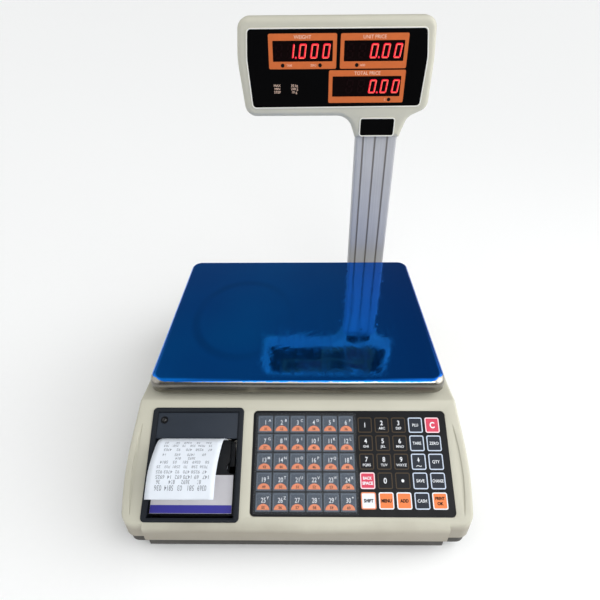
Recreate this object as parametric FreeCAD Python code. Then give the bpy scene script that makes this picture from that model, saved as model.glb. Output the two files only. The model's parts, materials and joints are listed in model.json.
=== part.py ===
import FreeCAD, Part
import math
import os
from FreeCAD import Placement, Rotation, Vector

# Retail price scale: weighing platter, sloping keypad deck with a receipt printer, and a pole display.
# Millimetres. X points to the operator's right, Y away from the operator, Z up; the feet stand on Z = 0.

# ---------------------------------------------------------------- driving dimensions
BASE_Z = 9.0                 # underside of the base tray
SEAM_Z = 20.2                # joint between base tray and upper housing
LIP_Z = 24.0                 # top of the tray's lip inside the housing
TOP_Z = 96.0                 # flat top of the housing, under the platter
REAR_Y = 151.0
REAR_HALF_WIDTH = 150.0
WALL = 3.0
FLOOR_Z = BASE_Z + WALL      # inside of the base tray
SHOULDER_ROUND = 3.2         # rounding of the housing's top edges
FASCIA_ROUND = 2.4           # rounding of the brow over the front
THROUGH = 20.0               # how far a drill reaches through a wall

CREASE_Y = -87.0             # where the flat top turns down into the deck
DECK_ANGLE = 31.0            # degrees below horizontal
DECK_LENGTH = 108.0
FASCIA_PROUD = 3.4           # the middle of the front stands this far past the corners
FASCIA_X = (-135.0, 133.0)

PLATTER_X, PLATTER_Y = 284.0, 222.0
PLATTER_CENTRE_Y = 26.0
PLATTER_TOP_Z = 118.0
PLATTER_HEIGHT = 14.0
PLATTER_SHEET = 1.0
PLATTER_ROLL = 6.5
PLATTER_CORNER = 13.0
FILM = 0.15

CELL_LENGTH, CELL_WIDTH, CELL_HEIGHT = 130.0, 30.0, 22.0
CELL_BASE_Z = 18.0
POST_X, POST_Y = 100.0, 75.0         # platform posts, from the platter's centre
SPIDER_Z = 44.0
STOP_GAP = 0.6

FOOT_X, FOOT_FRONT_Y, FOOT_REAR_Y = 133.5, -150.0, 124.0

KEYPAD_X = (-41.0, 139.5)            # deck frame: X, and distance down the slope
KEYPAD_V = (10.4, 101.5)
KEYPAD_CORNER = 4.0
TAIL_X = (61.0, 83.0)                # the membrane circuit's tail
BEZEL_X = (-137.0, -50.4)
BEZEL_V = (7.5, 106.5)
BAY_X = (-132.0, -55.5)              # inside of the printer bezel
BAY_V = (12.0, 103.0)

PAPER_WIDTH = 57.5
PAPER_X = -93.5
ROLL_V, ROLL_W, ROLL_R = 67.0, -27.0, 18.0
NIP_V = 36.8
PLATEN_V, PLATEN_W, PLATEN_R = 42.1, -11.2, 5.0
DOOR_HINGE_V, DOOR_HINGE_W, HINGE_PIN_R = 97.3, -6.5, 1.5
DOOR_TOP_W, DOOR_THICK = -3.0, 2.2

GEAR_MODULE = 0.8
PLATEN_TEETH, IDLER_TEETH, PINION_TEETH = 12, 24, 12
GEAR_SPREAD = 0.1                    # added to each centre distance
GEAR_X = (-59.4, -56.6)

POLE_X, POLE_Y = 92.2, 170.5
POLE_WIDTH, POLE_DEPTH = 48.0, 20.0
POLE_Z = (52.0, 296.0)
SOCKET_TOP_Z = 84.0
CABLE_X, CABLE_Z, CABLE_R, CABLE_BEND = 80.0, 34.0, 2.1, 14.0

HEAD_Y = (158.0, 183.0)
HEAD_SPLIT_Y = 171.0
HEAD_WALL = 2.2
HEAD_ROUND = 6.0
LENS_THICK = 1.6

X_AXIS, Y_AXIS, Z_AXIS = Vector(1, 0, 0), Vector(0, 1, 0), Vector(0, 0, 1)


# ---------------------------------------------------------------- shape helpers
def box(x, y, z):
    """A block between the two values of each pair."""
    size = [pair[1] - pair[0] for pair in (x, y, z)]
    return Part.makeBox(*size, Vector(x[0], y[0], z[0]))


def rod(radius, start, direction, length):
    return Part.makeCylinder(radius, length, Vector(*start), direction)


def ring(outer, inner, start, direction, length):
    return rod(outer, start, direction, length).cut(rod(inner, start, direction, length))


def grown(pair, amount):
    """A pair of limits moved apart by an amount on each side."""
    return (pair[0] - amount, pair[1] + amount)


def edges_along(shape, axis):
    """The straight edges parallel to an axis."""
    found = []
    for edge in shape.Edges:
        if isinstance(edge.Curve, Part.Line) and abs(edge.tangentAt(edge.FirstParameter).dot(axis)) > 0.999:
            found.append(edge)
    return found


def rounded_box(x, y, z, radius, axis=Z_AXIS):
    block = box(x, y, z)
    return block.makeFillet(radius, edges_along(block, axis))


def fuse(shapes):
    shapes = list(shapes)
    return shapes[0].multiFuse(shapes[1:]).removeSplitter() if len(shapes) > 1 else shapes[0]


def cut(shape, tools):
    for tool in tools:
        shape = shape.cut(tool)
    return shape


def on_deck(shape):
    """Moves a shape from the deck frame (X, up the slope, out of the deck) to the scale's frame."""
    placed = shape.copy()
    placed.Placement = Placement(Vector(0, CREASE_Y, TOP_Z), Rotation(X_AXIS, DECK_ANGLE)).multiply(
        placed.Placement)
    return placed


def deck_box(x, v, w):
    """A block in the deck frame; v runs down the slope and w out of the deck."""
    return box(x, (-v[1], -v[0]), w)


def deck_rounded(x, v, w, radius):
    return rounded_box(x, (-v[1], -v[0]), w, radius)


def deck_rod(radius, x, v, w, length):
    """A rod along X in the deck frame."""
    return rod(radius, (x, -v, w), X_AXIS, length)


def deck_stud(radius, x, v, w, length):
    """A rod standing out of the deck."""
    return rod(radius, (x, -v, w), Z_AXIS, length)


def rounded_outline(corners, y):
    """A closed outline in the XZ plane from (x, z, radius) corners, each rounded by a tangent arc."""
    edges = []
    previous = None
    first = None
    count = len(corners)
    for index, (x, z, radius) in enumerate(corners):
        here = Vector(x, y, z)
        before = Vector(corners[index - 1][0], y, corners[index - 1][1])
        after = Vector(corners[(index + 1) % count][0], y, corners[(index + 1) % count][1])
        inward = (before - here).normalize()
        outward = (after - here).normalize()
        half = inward.getAngle(outward) / 2.0
        reach = radius / math.tan(half)
        middle = (inward + outward).normalize() * (radius / math.sin(half) - radius)
        start = here + inward * reach
        end = here + outward * reach
        if previous is not None:
            edges.append(Part.LineSegment(previous, start).toShape())
        else:
            first = start
        edges.append(Part.Arc(start, here + middle, end).toShape())
        previous = end
    edges.append(Part.LineSegment(previous, first).toShape())
    return Part.Wire(edges)


def slab(wire, depth):
    """The outline filled and thickened along +Y."""
    return Part.Face(wire).extrude(Vector(0, depth, 0))


# ---------------------------------------------------------------- casing
DECK_RUN = DECK_LENGTH * math.cos(math.radians(DECK_ANGLE))
FRONT_Y = CREASE_Y - DECK_RUN


def plan_outline(inset, z):
    """The housing seen from above: straight rear half, cheeks that swell beside the deck."""
    rear, front = REAR_Y - inset, FRONT_Y + inset
    wide = REAR_HALF_WIDTH - inset
    radius = 11.0 - min(inset, 8.0)
    swell_start = Vector(wide, -40, z)
    swell_end = Vector(wide + 5.2, front + radius, z)
    cheek = Part.BSplineCurve()
    cheek.interpolate(
        Points=[swell_start, Vector(wide + 2.2, -88, z), Vector(wide + 6.6, -130, z), swell_end],
        InitialTangent=Vector(0, -1, 0), FinalTangent=Vector(-0.12, -1, 0))
    turn = radius * (1 - math.sqrt(0.5))
    front_corner = Part.Arc(swell_end, Vector(swell_end.x - turn, front + turn, z),
                            Vector(swell_end.x - radius, front, z)).toShape()
    rear_corner = Part.Arc(Vector(wide - radius, rear, z), Vector(wide - turn, rear - turn, z),
                           Vector(wide, rear - radius, z)).toShape()
    side = Part.LineSegment(Vector(wide, rear - radius, z), swell_start).toShape()
    right = [rear_corner, side, cheek.toShape(), front_corner]
    left = [edge.mirror(Vector(0, 0, 0), X_AXIS) for edge in right]
    front_half = swell_end.x - radius
    rear_half = wide - radius
    joins = [Part.LineSegment(Vector(front_half, front, z), Vector(-front_half, front, z)).toShape(),
             Part.LineSegment(Vector(-rear_half, rear, z), Vector(rear_half, rear, z)).toShape()]
    return Part.Wire(Part.__sortEdges__(right + left + joins))


def plan_prism(inset, low, high):
    return Part.Face(plan_outline(inset, low)).extrude(Vector(0, 0, high - low))


def above_deck(offset):
    """Everything on the outer side of the deck plane moved in by an offset."""
    return on_deck(deck_box((-220, 220), (-150, 260), (-offset, 160)))


RIGHT_SCREWS = ((146.0, -160.0), (141.0, -55.0), (138.0, 138.0))
SCREW_POINTS = [(side * x, y) for x, y in RIGHT_SCREWS for side in (-1, 1)]
SCREW_R, SCREW_HEAD_R, SCREW_SEAT_Z = 1.6, 3.6, 18.0
SCREW_POST_R, SCREW_POST_Z = 4.6, 24.2
POST_HOLE_R = 13.0                   # clearance round the platform's posts
LEVEL_R = 7.0
JACK_R = 5.4
CABLE_HOLE_R = 4.0
FIT = 0.25                           # gap round the keypad in its recess
POST_POINTS = [(sx * POST_X, PLATTER_CENTRE_Y + sy * POST_Y) for sx in (-1, 1) for sy in (-1, 1)]
LEVEL_X, LEVEL_Y = 128.0, -62.0
JACK_X, JACK_Z = -104.0, 36.0
ROCKER_Y, ROCKER_Z = (50.0, 69.0), (30.0, 43.0)


def cheek_groove(side):
    """A shallow leaf-shaped groove down one cheek of the deck."""
    top, bottom = -22.0, -101.0
    outer, inner = side * 148.6, side * 144.4
    middle = (top + bottom) / 2.0
    ends = (Vector(side * 146.0, top, -0.8), Vector(side * 147.0, bottom, -0.8))
    leaf = Part.Wire([Part.Arc(ends[0], Vector(outer + side * 1.6, middle, -0.8), ends[1]).toShape(),
                      Part.Arc(ends[1], Vector(inner + side * 2.2, middle, -0.8), ends[0]).toShape()])
    return on_deck(Part.Face(leaf).extrude(Vector(0, 0, 4)))


def fascia_block():
    """The middle of the front, standing a little past the corners, with a rounded brow."""
    block = box(FASCIA_X, (FRONT_Y - FASCIA_PROUD, FRONT_Y + 12), (SEAM_Z, TOP_Z)).cut(above_deck(0))
    brow = [edge for edge in edges_along(block, X_AXIS)
            if edge.BoundBox.YMax < FRONT_Y and edge.BoundBox.ZMin > SEAM_Z + 5]
    return block.makeFillet(FASCIA_ROUND, brow)


def upper_housing():
    body = plan_prism(0, SEAM_Z, TOP_Z).cut(above_deck(0))
    shoulder = [edge for edge in body.Edges
                if edge.BoundBox.ZMin > SEAM_Z + 1 and edge.BoundBox.ZMax < TOP_Z + 0.01]
    body = body.makeFillet(SHOULDER_ROUND, shoulder)
    body = body.fuse(fascia_block()).removeSplitter()
    hollow = plan_prism(WALL, SEAM_Z - 1, TOP_Z - WALL).cut(above_deck(WALL))
    body = body.cut(hollow)
    posts = [rod(SCREW_POST_R, (x, y, SCREW_POST_Z), Z_AXIS, TOP_Z) for x, y in SCREW_POINTS]
    inside = plan_prism(1, SEAM_Z, TOP_Z - 1).cut(above_deck(1))
    body = fuse([body] + [post.common(inside) for post in posts])
    holes = [rod(SCREW_R, (x, y, 20), Z_AXIS, 14) for x, y in SCREW_POINTS]
    holes += [rod(POST_HOLE_R, (x, y, TOP_Z - 10), Z_AXIS, THROUGH) for x, y in POST_POINTS]
    holes.append(rod(LEVEL_R + 2.1, (LEVEL_X, LEVEL_Y, TOP_Z - 10), Z_AXIS, THROUGH))
    holes.append(on_deck(deck_box(grown(BAY_X, 1.6), grown(BAY_V, 1.6), (-12, 8))))
    holes.append(on_deck(deck_rounded(grown(KEYPAD_X, FIT), grown(KEYPAD_V, FIT), (-1.0, 4), KEYPAD_CORNER)))
    holes.append(on_deck(deck_box(grown(TAIL_X, 1.0), (84, 87), (-8, 4))))
    holes.append(rod(JACK_R + 0.1, (JACK_X, REAR_Y - 10, JACK_Z), Y_AXIS, THROUGH))
    holes.append(box((REAR_HALF_WIDTH - 8, REAR_HALF_WIDTH + 8), ROCKER_Y, ROCKER_Z))
    holes.append(rod(CABLE_HOLE_R, (CABLE_X, REAR_Y - 10, CABLE_Z), Y_AXIS, THROUGH))
    holes += [cheek_groove(side) for side in (-1, 1)]
    return cut(body, holes)


def base_tray():
    tray = plan_prism(2.0, BASE_Z, SEAM_Z)
    tray = tray.fuse(plan_prism(3.4, BASE_Z, LIP_Z))
    tray = tray.cut(plan_prism(5.6, FLOOR_Z, LIP_Z + 3))
    skirt = box(grown(FASCIA_X, -2), (FRONT_Y - FASCIA_PROUD + 2, FRONT_Y + 5), (BASE_Z, SEAM_Z))
    bosses = [skirt, box((-66, -37), grown(CELL_Y, 1.0), (BASE_Z, CELL_BASE_Z))]
    bosses += [rod(5.2, (x, y, BASE_Z), Z_AXIS, 15) for x, y in SCREW_POINTS]
    bosses += [rod(8.0, (x, y, BASE_Z), Z_AXIS, 15) for x, y in FOOT_POINTS.values()]
    bosses += [rod(6.0, (x, y, BASE_Z), Z_AXIS, 12) for x, y in POST_POINTS]
    bosses += [rod(3.0, (x, y, BASE_Z), Z_AXIS, MAIN_BOARD_Z - BASE_Z)
               for x, y in MAIN_BOARD_SCREWS + POWER_BOARD_SCREWS]
    tray = fuse([tray] + bosses)
    holes = [rod(2.1, (x, y, 0), Z_AXIS, 40) for x, y in SCREW_POINTS]
    holes += [rod(4.0, (x, y, 0), Z_AXIS, 18) for x, y in SCREW_POINTS]
    holes += [rod(4.05, (x, y, 0), Z_AXIS, 40) for x, y in FOOT_POINTS.values()]
    holes += [rod(2.5, (x, y, 14), Z_AXIS, 10) for x, y in POST_POINTS]
    for x, y in CELL_BASE_BOLTS:
        holes.append(rod(3.1, (x, y, 0), Z_AXIS, 30))
        holes.append(rod(6.0, (x, y, 0), Z_AXIS, 14.5))
    return cut(tray, holes)


def socket_head_screw(radius, head_radius, head_height, seat, direction, length):
    """A round-headed screw whose head rests on the seat point and whose shank runs along the direction."""
    seat = Vector(*seat)
    head = Part.makeCylinder(head_radius, head_height, seat - direction * head_height, direction)
    shank = Part.makeCylinder(radius, length, seat, direction)
    key = Part.makeCylinder(radius * 0.75, head_height * 0.55, seat - direction * head_height, direction)
    return head.fuse(shank).removeSplitter().cut(key)


def housing_screws():
    return Part.Compound([socket_head_screw(SCREW_R, SCREW_HEAD_R, 2.6, (x, y, SCREW_SEAT_Z), Z_AXIS, 15.0)
                          for x, y in SCREW_POINTS])


# ---------------------------------------------------------------- levelling feet
FOOT_POINTS = {
    "front_left": (-FOOT_X, FOOT_FRONT_Y), "front_right": (FOOT_X, FOOT_FRONT_Y),
    "rear_left": (-FOOT_X, FOOT_REAR_Y), "rear_right": (FOOT_X, FOOT_REAR_Y)}


WHEEL_R, WHEEL_FLUTES, FLUTE_R = 15.0, 20, 1.3
STUD_R, SOLE_R, SOLE_HEIGHT = 3.95, 12.0, 3.0


def foot_wheel(x, y):
    """Knurled hand wheel moulded on its threaded stud, hollow below for the sole's pivot."""
    wheel = rod(WHEEL_R, (x, y, SOLE_HEIGHT + 0.05), Z_AXIS, 5.5)
    flutes = []
    reach = WHEEL_R + 0.4
    for step in range(WHEEL_FLUTES):
        angle = 2 * math.pi * step / WHEEL_FLUTES
        flutes.append(rod(FLUTE_R, (x + reach * math.cos(angle), y + reach * math.sin(angle), 2), Z_AXIS, 8))
    stud = rod(STUD_R, (x, y, 8.5), Z_AXIS, 22.5)
    socket = rod(3.05, (x, y, 2), Z_AXIS, 3.2)
    wheel = wheel.cut(Part.Compound(flutes))
    return wheel.fuse(stud).cut(socket)


def foot_sole(x, y):
    pad = rod(SOLE_R, (x, y, 0), Z_AXIS, SOLE_HEIGHT)
    rim = [edge for edge in pad.Edges if abs(edge.BoundBox.ZMax) < 0.01]
    return pad.makeChamfer(0.6, rim).fuse(rod(3.0, (x, y, SOLE_HEIGHT), Z_AXIS, 2.0))


# ---------------------------------------------------------------- weighing platform
CELL_X = (-CELL_LENGTH / 2, CELL_LENGTH / 2)
CELL_Y = (PLATTER_CENTRE_Y - CELL_WIDTH / 2, PLATTER_CENTRE_Y + CELL_WIDTH / 2)
CELL_TOP_Z = CELL_BASE_Z + CELL_HEIGHT
CELL_BASE_BOLTS = [(-58.0, PLATTER_CENTRE_Y), (-44.0, PLATTER_CENTRE_Y)]
CELL_PLATFORM_BOLTS = [(44.0, PLATTER_CENTRE_Y), (58.0, PLATTER_CENTRE_Y)]
SPIDER_THICK = 6.0
PAD_Z = PLATTER_TOP_Z - FILM - PLATTER_SHEET - 5.0


def load_cell():
    beam = box(CELL_X, CELL_Y, (CELL_BASE_Z, CELL_TOP_Z))
    middle = CELL_BASE_Z + CELL_HEIGHT / 2
    start = CELL_Y[0] - 1
    window = [rod(8.4, (x, start, middle), Y_AXIS, CELL_WIDTH + 2) for x in (-13.0, 13.0)]
    window.append(box((-13, 13), (start, CELL_Y[1] + 1), (middle - 3.5, middle + 3.5)))
    threads = [rod(3.0, (x, y, CELL_BASE_Z - 1), Z_AXIS, 15) for x, y in CELL_BASE_BOLTS]
    threads += [rod(3.0, (x, y, CELL_TOP_Z - 14), Z_AXIS, 15) for x, y in CELL_PLATFORM_BOLTS]
    return cut(beam, window + threads)


def load_cell_base_bolts():
    return Part.Compound([socket_head_screw(2.95, 5.0, 5.0, (x, y, 14.5), Z_AXIS, 14.0)
                          for x, y in CELL_BASE_BOLTS])


def load_cell_platform_bolts():
    top = SPIDER_Z + SPIDER_THICK
    return Part.Compound([socket_head_screw(2.95, 5.0, 5.0, (x, y, top), Z_AXIS * -1, 22.0)
                          for x, y in CELL_PLATFORM_BOLTS])


def spider_arm(x, y):
    """One arm from the spider's hub to the disc under a post."""
    hub = Vector(math.copysign(48, x), PLATTER_CENTRE_Y, SPIDER_Z)
    tip = Vector(x, y, SPIDER_Z)
    along = tip - hub
    across = Vector(-along.y, along.x, 0).normalize() * 9.0
    corners = [hub + across, tip + across, tip - across, hub - across]
    face = Part.Face(Part.makePolygon(corners + corners[:1]))
    return face.extrude(Vector(0, 0, SPIDER_THICK))


def platform_spider():
    top = SPIDER_Z + SPIDER_THICK
    pieces = [rounded_box((-68, 68), (PLATTER_CENTRE_Y - 17, PLATTER_CENTRE_Y + 17), (SPIDER_Z, top), 8.0),
              box((38, 65), CELL_Y, (CELL_TOP_Z, SPIDER_Z))]
    for x, y in POST_POINTS:
        pieces.append(spider_arm(x, y))
        pieces.append(rod(13.0, (x, y, SPIDER_Z), Z_AXIS, SPIDER_THICK))
        pieces.append(Part.makeCone(9.5, 7.0, PAD_Z - top, Vector(x, y, top)))
    holes = [rod(3.2, (x, y, 30), Z_AXIS, 30) for x, y in CELL_PLATFORM_BOLTS]
    holes.append(rod(12.0, (0, PLATTER_CENTRE_Y, 30), Z_AXIS, 30))
    return cut(fuse(pieces), holes)


def platform_pads():
    return Part.Compound([rod(10.0, (x, y, PAD_Z), Z_AXIS, 4.95) for x, y in POST_POINTS])


NUT_R, NUT_Z = 4.6, 21.0


def overload_screws():
    """Stop screws with lock nuts that catch the spider's arms before the load cell bends too far."""
    stops = []
    for x, y in POST_POINTS:
        stud = rod(2.45, (x, y, 14.2), Z_AXIS, SPIDER_Z - STOP_GAP - 14.2)
        turns = [math.radians(60 * k) for k in range(7)]
        corners = [Vector(x + NUT_R * math.cos(turn), y + NUT_R * math.sin(turn), NUT_Z) for turn in turns]
        stops.append(stud.fuse(Part.Face(Part.makePolygon(corners)).extrude(Vector(0, 0, 4))))
    return Part.Compound(stops)


# ---------------------------------------------------------------- platter
def platter_solid(grow, low):
    """The platter's outer form grown or shrunk by an amount, with rolled top edges, from a low level up."""
    across = grown((-PLATTER_X / 2, PLATTER_X / 2), grow)
    along = grown((PLATTER_CENTRE_Y - PLATTER_Y / 2, PLATTER_CENTRE_Y + PLATTER_Y / 2), grow)
    top = PLATTER_TOP_Z - FILM + grow
    block = rounded_box(across, along, (low, top), PLATTER_CORNER + grow)
    rim = [edge for edge in block.Edges if edge.BoundBox.ZMin > top - 0.01]
    return block.makeFillet(PLATTER_ROLL + grow, rim)


def platter():
    bottom = PLATTER_TOP_Z - PLATTER_HEIGHT
    return platter_solid(0, bottom).cut(platter_solid(-PLATTER_SHEET, bottom - 1))


def platter_film():
    """Protective film left on the top and the upper part of the rolled edge."""
    low = PLATTER_TOP_Z - PLATTER_ROLL * 0.5
    skin = platter_solid(FILM, low - 4).cut(platter_solid(0, low - 8))
    keep = box((-200, 200), (-200, 200), (low, PLATTER_TOP_Z + 1))
    return skin.common(keep)


def platter_locators():
    top = PLATTER_TOP_Z - FILM - PLATTER_SHEET
    return Part.Compound([ring(13.0, 11.2, (x, y, top - 4.0), Z_AXIS, 4.0) for x, y in POST_POINTS])


def level_holder():
    inside = LEVEL_R + 0.1
    flange = ring(LEVEL_R + 4.0, inside, (LEVEL_X, LEVEL_Y, TOP_Z), Z_AXIS, 1.4)
    cup = rod(LEVEL_R + 2.0, (LEVEL_X, LEVEL_Y, TOP_Z - 7), Z_AXIS, 7.2)
    cup = cup.cut(rod(inside, (LEVEL_X, LEVEL_Y, TOP_Z - 5.5), Z_AXIS, 9))
    return flange.fuse(cup)


def level_vial():
    return rod(LEVEL_R, (LEVEL_X, LEVEL_Y, TOP_Z - 5.5), Z_AXIS, 6.3)


# ---------------------------------------------------------------- keypad
def keypad_layer(w, shrink):
    across, along = grown(KEYPAD_X, -shrink), grown(KEYPAD_V, -shrink)
    return on_deck(deck_rounded(across, along, w, KEYPAD_CORNER - shrink))


def keypad_circuit():
    """Membrane circuit under the overlay, with its tail going down through the deck."""
    tail = on_deck(deck_box(TAIL_X, (85.2, 85.6), (-16, -0.8)))
    return keypad_layer((-1.0, -0.5), 0.3).fuse(tail)


def keypad_overlay():
    return keypad_layer((-0.5, 0.0), 0.0)


FILM_POCKET_X, FILM_POCKET_V = (-38.6, 55.2), (12.2, 99.6)


def film_pocket():
    """Clear film over the direct keys, open along its wavy right edge where price cards slide in."""
    x_left, x_right = FILM_POCKET_X
    v_top, v_bottom = FILM_POCKET_V
    wave = Part.BSplineCurve()
    spans = 6
    step = (v_bottom - v_top) / spans
    wave.interpolate(Points=[Vector(x_right + 0.9 * math.sin(k * 1.9), -(v_top + step * k), 0)
                             for k in range(spans + 1)])
    start, end = wave.value(wave.FirstParameter), wave.value(wave.LastParameter)
    corners = [end, Vector(x_left, -v_bottom, 0), Vector(x_left, -v_top, 0), start]
    sides = [Part.LineSegment(a, b).toShape() for a, b in zip(corners, corners[1:])]
    outline = Part.Wire([wave.toShape()] + sides)
    return on_deck(Part.Face(outline).extrude(Vector(0, 0, 0.25)))


# ---------------------------------------------------------------- receipt printer
def printer_bezel():
    frame = deck_rounded(BEZEL_X, BEZEL_V, (0, 1.6), 4.0)
    rim = [edge for edge in frame.Edges if edge.BoundBox.ZMin > 1.5]
    frame = frame.makeFillet(1.0, rim)
    skirt = deck_box(grown(BAY_X, 1.5), grown(BAY_V, 1.5), (-20, 0))
    bay = deck_box(BAY_X, BAY_V, (-30, 10))
    step = deck_box(grown(BAY_X, 0.8), grown(BAY_V, 0.8), (1.0, 5))
    bezel = cut(frame.fuse(skirt), [bay, step])
    for x in (BAY_X[0] - 4, BAY_X[1] - 4):
        bezel = bezel.cut(deck_rod(HINGE_PIN_R + 0.05, x, DOOR_HINGE_V, DOOR_HINGE_W, 8))
    return on_deck(bezel)


BUTTON_X, BUTTON_V, BUTTON_R = -125.6, 19.1, 2.7
COVER_END_V = 36.0                   # tear edge of the head cover


def head_cover():
    """Fixed cover over the print head, with the tear edge along the paper slot."""
    plate = deck_box(grown(BAY_X, -0.3), (BAY_V[0] + 0.2, COVER_END_V), (-1.4, 0.6))
    plate = plate.makeFillet(0.8, [edge for edge in edges_along(plate, X_AXIS) if edge.BoundBox.ZMin > 0.5])
    lip = deck_box((BAY_X[0] + 3, BAY_X[1] - 4), (COVER_END_V - 1.8, COVER_END_V), (-4.4, -1.0))
    bracket = deck_box((-122, -65), (30.4, 33.4), (-15, -1.0))
    ends = [deck_box((x, x + 2), (BAY_V[0], 34), (-6, -1.0)) for x in (BAY_X[0] + 0.3, BAY_X[1] - 2.3)]
    cover = fuse([plate, lip, bracket] + ends)
    cover = cover.cut(deck_stud(BUTTON_R + 0.2, BUTTON_X, BUTTON_V, -3, 6))
    teeth = []
    pitch = 1.5
    for step in range(int(PAPER_WIDTH / pitch)):
        x = PAPER_X - PAPER_WIDTH / 2 + pitch * (step + 0.5)
        teeth.append(deck_stud(0.35, x, COVER_END_V, -0.6, 2))
    return on_deck(cover.cut(Part.Compound(teeth)))


def feed_button():
    cap = deck_stud(BUTTON_R, BUTTON_X, BUTTON_V, -1.6, 3.0)
    cap = cap.makeFillet(0.5, [edge for edge in cap.Edges if edge.BoundBox.ZMin > 1.3])
    flange = deck_stud(BUTTON_R + 1.0, BUTTON_X, BUTTON_V, -2.4, 0.9)
    stem = deck_stud(1.2, BUTTON_X, BUTTON_V, -5.0, 2.8)
    return on_deck(fuse([cap, flange, stem]))


def print_head():
    """Ceramic heater plate pressed towards the platen, on its heat sink."""
    return on_deck(deck_box((-124.2, -62.9), (33.4, 36.3), (-14.8, -5.0)))


JOURNAL_R = 1.5                      # ends of the platen's shaft
PLATEN_X, PLATEN_BORE = -123.4, 2.5
PLATEN_LENGTH = 59.8
LEVER_X = (-61.3, -57.1)
LEVER_V = (38.2, 60.5)
LEVER_PIVOT_V, LEVER_PIVOT_W = 39.8, -4.05
WELL_X, WELL_V, WELL_R = -58.9, 61.2, 5.4


def printer_door():
    top, bottom = DOOR_TOP_W, DOOR_TOP_W - DOOR_THICK
    plate = deck_box((BAY_X[0] + 0.5, BAY_X[1] - 0.5), (37.4, 100.8), (bottom, top))
    knuckles = [deck_rod(2.9, x, DOOR_HINGE_V, DOOR_HINGE_W, 9) for x in (-130, -68)]
    arms = [deck_box((x, x + 9), (94.4, 100.2), (-6.5, bottom + 0.5)) for x in (-130, -68)]
    ears = [deck_box((x, x + 2), (37.5, 46.8), (-15.5, bottom + 0.5)) for x in (-127.2, -61.9)]
    ribs = [deck_box((x, x + 1.6), (50, 92), (-7.2, bottom + 0.5)) for x in (-110, -76)]
    door = fuse([plate] + knuckles + arms + ears + ribs)
    slot = deck_box((LEVER_X[0] - 0.4, BAY_X[1] + 2), (36, WELL_V), (bottom - 0.1, 4))
    well = deck_stud(WELL_R, WELL_X, WELL_V, bottom - 0.1, 6)
    holes = [slot, well, deck_rod(0.9, LEVER_X[0] - 4.5, LEVER_PIVOT_V, LEVER_PIVOT_W, 6)]
    holes.append(deck_rod(HINGE_PIN_R + 0.05, BAY_X[0], DOOR_HINGE_V, DOOR_HINGE_W, BAY_X[1] - BAY_X[0]))
    holes += [deck_rod(JOURNAL_R + 0.05, x, PLATEN_V, PLATEN_W, 4) for x in (-128.2, -62.9)]
    return on_deck(cut(door, holes))


def door_hinge_pin():
    start, end = grown(BAY_X, 1.4)
    return on_deck(deck_rod(HINGE_PIN_R, start, DOOR_HINGE_V, DOOR_HINGE_W, end - start))


def door_lever():
    """Release lever: pivots beside the slot and is pulled up from the finger well."""
    bar = deck_box(LEVER_X, LEVER_V, (-5.0, DOOR_TOP_W))
    bar = bar.makeFillet(0.9, [edge for edge in edges_along(bar, X_AXIS) if edge.BoundBox.YMax < -60])
    bar = bar.makeFillet(0.9, [edge for edge in edges_along(bar, X_AXIS) if edge.BoundBox.YMin > -39])
    return on_deck(bar.fuse(deck_rod(0.8, LEVER_X[0] - 3.5, LEVER_PIVOT_V, LEVER_PIVOT_W, 4)))


def door_card():
    """Blank business card lying on the door."""
    return on_deck(deck_box((-130.4, -57.6), (67.6, 99.4), (DOOR_TOP_W, DOOR_TOP_W + 0.4)))


def platen_roller():
    roller = deck_rod(PLATEN_R, PLATEN_X, PLATEN_V, PLATEN_W, PLATEN_LENGTH)
    return on_deck(roller.cut(deck_rod(PLATEN_BORE, PLATEN_X - 1, PLATEN_V, PLATEN_W, PLATEN_LENGTH + 2)))


def platen_shaft():
    return on_deck(fuse([deck_rod(PLATEN_BORE, PLATEN_X, PLATEN_V, PLATEN_W, PLATEN_LENGTH),
                         deck_rod(JOURNAL_R, -127.6, PLATEN_V, PLATEN_W, 71.2)]))


def involute_gear(teeth, width, x, bore):
    """A spur gear on the X axis at (0, 0) with thinned involute teeth; one tooth points to +Y."""
    pitch_r = GEAR_MODULE * teeth / 2
    base_r = pitch_r * math.cos(math.radians(20))
    tip_r = pitch_r + 0.88 * GEAR_MODULE
    root_r = pitch_r - 1.2 * GEAR_MODULE
    thinning = 0.08 / pitch_r
    start_angle = math.tan(math.radians(20)) - math.radians(20)
    half_pitch = math.pi / (2 * teeth) - thinning

    def flank_angle(radius):
        """Half the tooth's angle at a radius."""
        roll = math.sqrt(max((radius / base_r) ** 2 - 1, 0))
        return half_pitch + start_angle - (roll - math.atan(roll))

    radii = [root_r] + [max(base_r, root_r) + (tip_r - max(base_r, root_r)) * k / 4 for k in range(5)]
    points = []
    for tooth in range(teeth):
        middle = 2 * math.pi * tooth / teeth
        up = [(r, middle - flank_angle(r)) for r in radii]
        down = [(r, middle + flank_angle(r)) for r in reversed(radii)]
        points += [Vector(x, r * math.cos(a), r * math.sin(a)) for r, a in up + down]
    points.append(points[0])
    blank = Part.Face(Part.makePolygon(points)).extrude(Vector(width, 0, 0))
    return blank.cut(rod(bore, (x - 1, 0, 0), X_AXIS, width + 2))


def gear_at(teeth, bore, v, w, phase):
    gear = involute_gear(teeth, GEAR_X[1] - GEAR_X[0], GEAR_X[0], bore)
    gear.rotate(Vector(0, 0, 0), X_AXIS, phase)
    gear.translate(Vector(0, -v, w))
    return gear


def gear_reach(teeth_a, teeth_b):
    return GEAR_MODULE * (teeth_a + teeth_b) / 2 + GEAR_SPREAD


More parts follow.
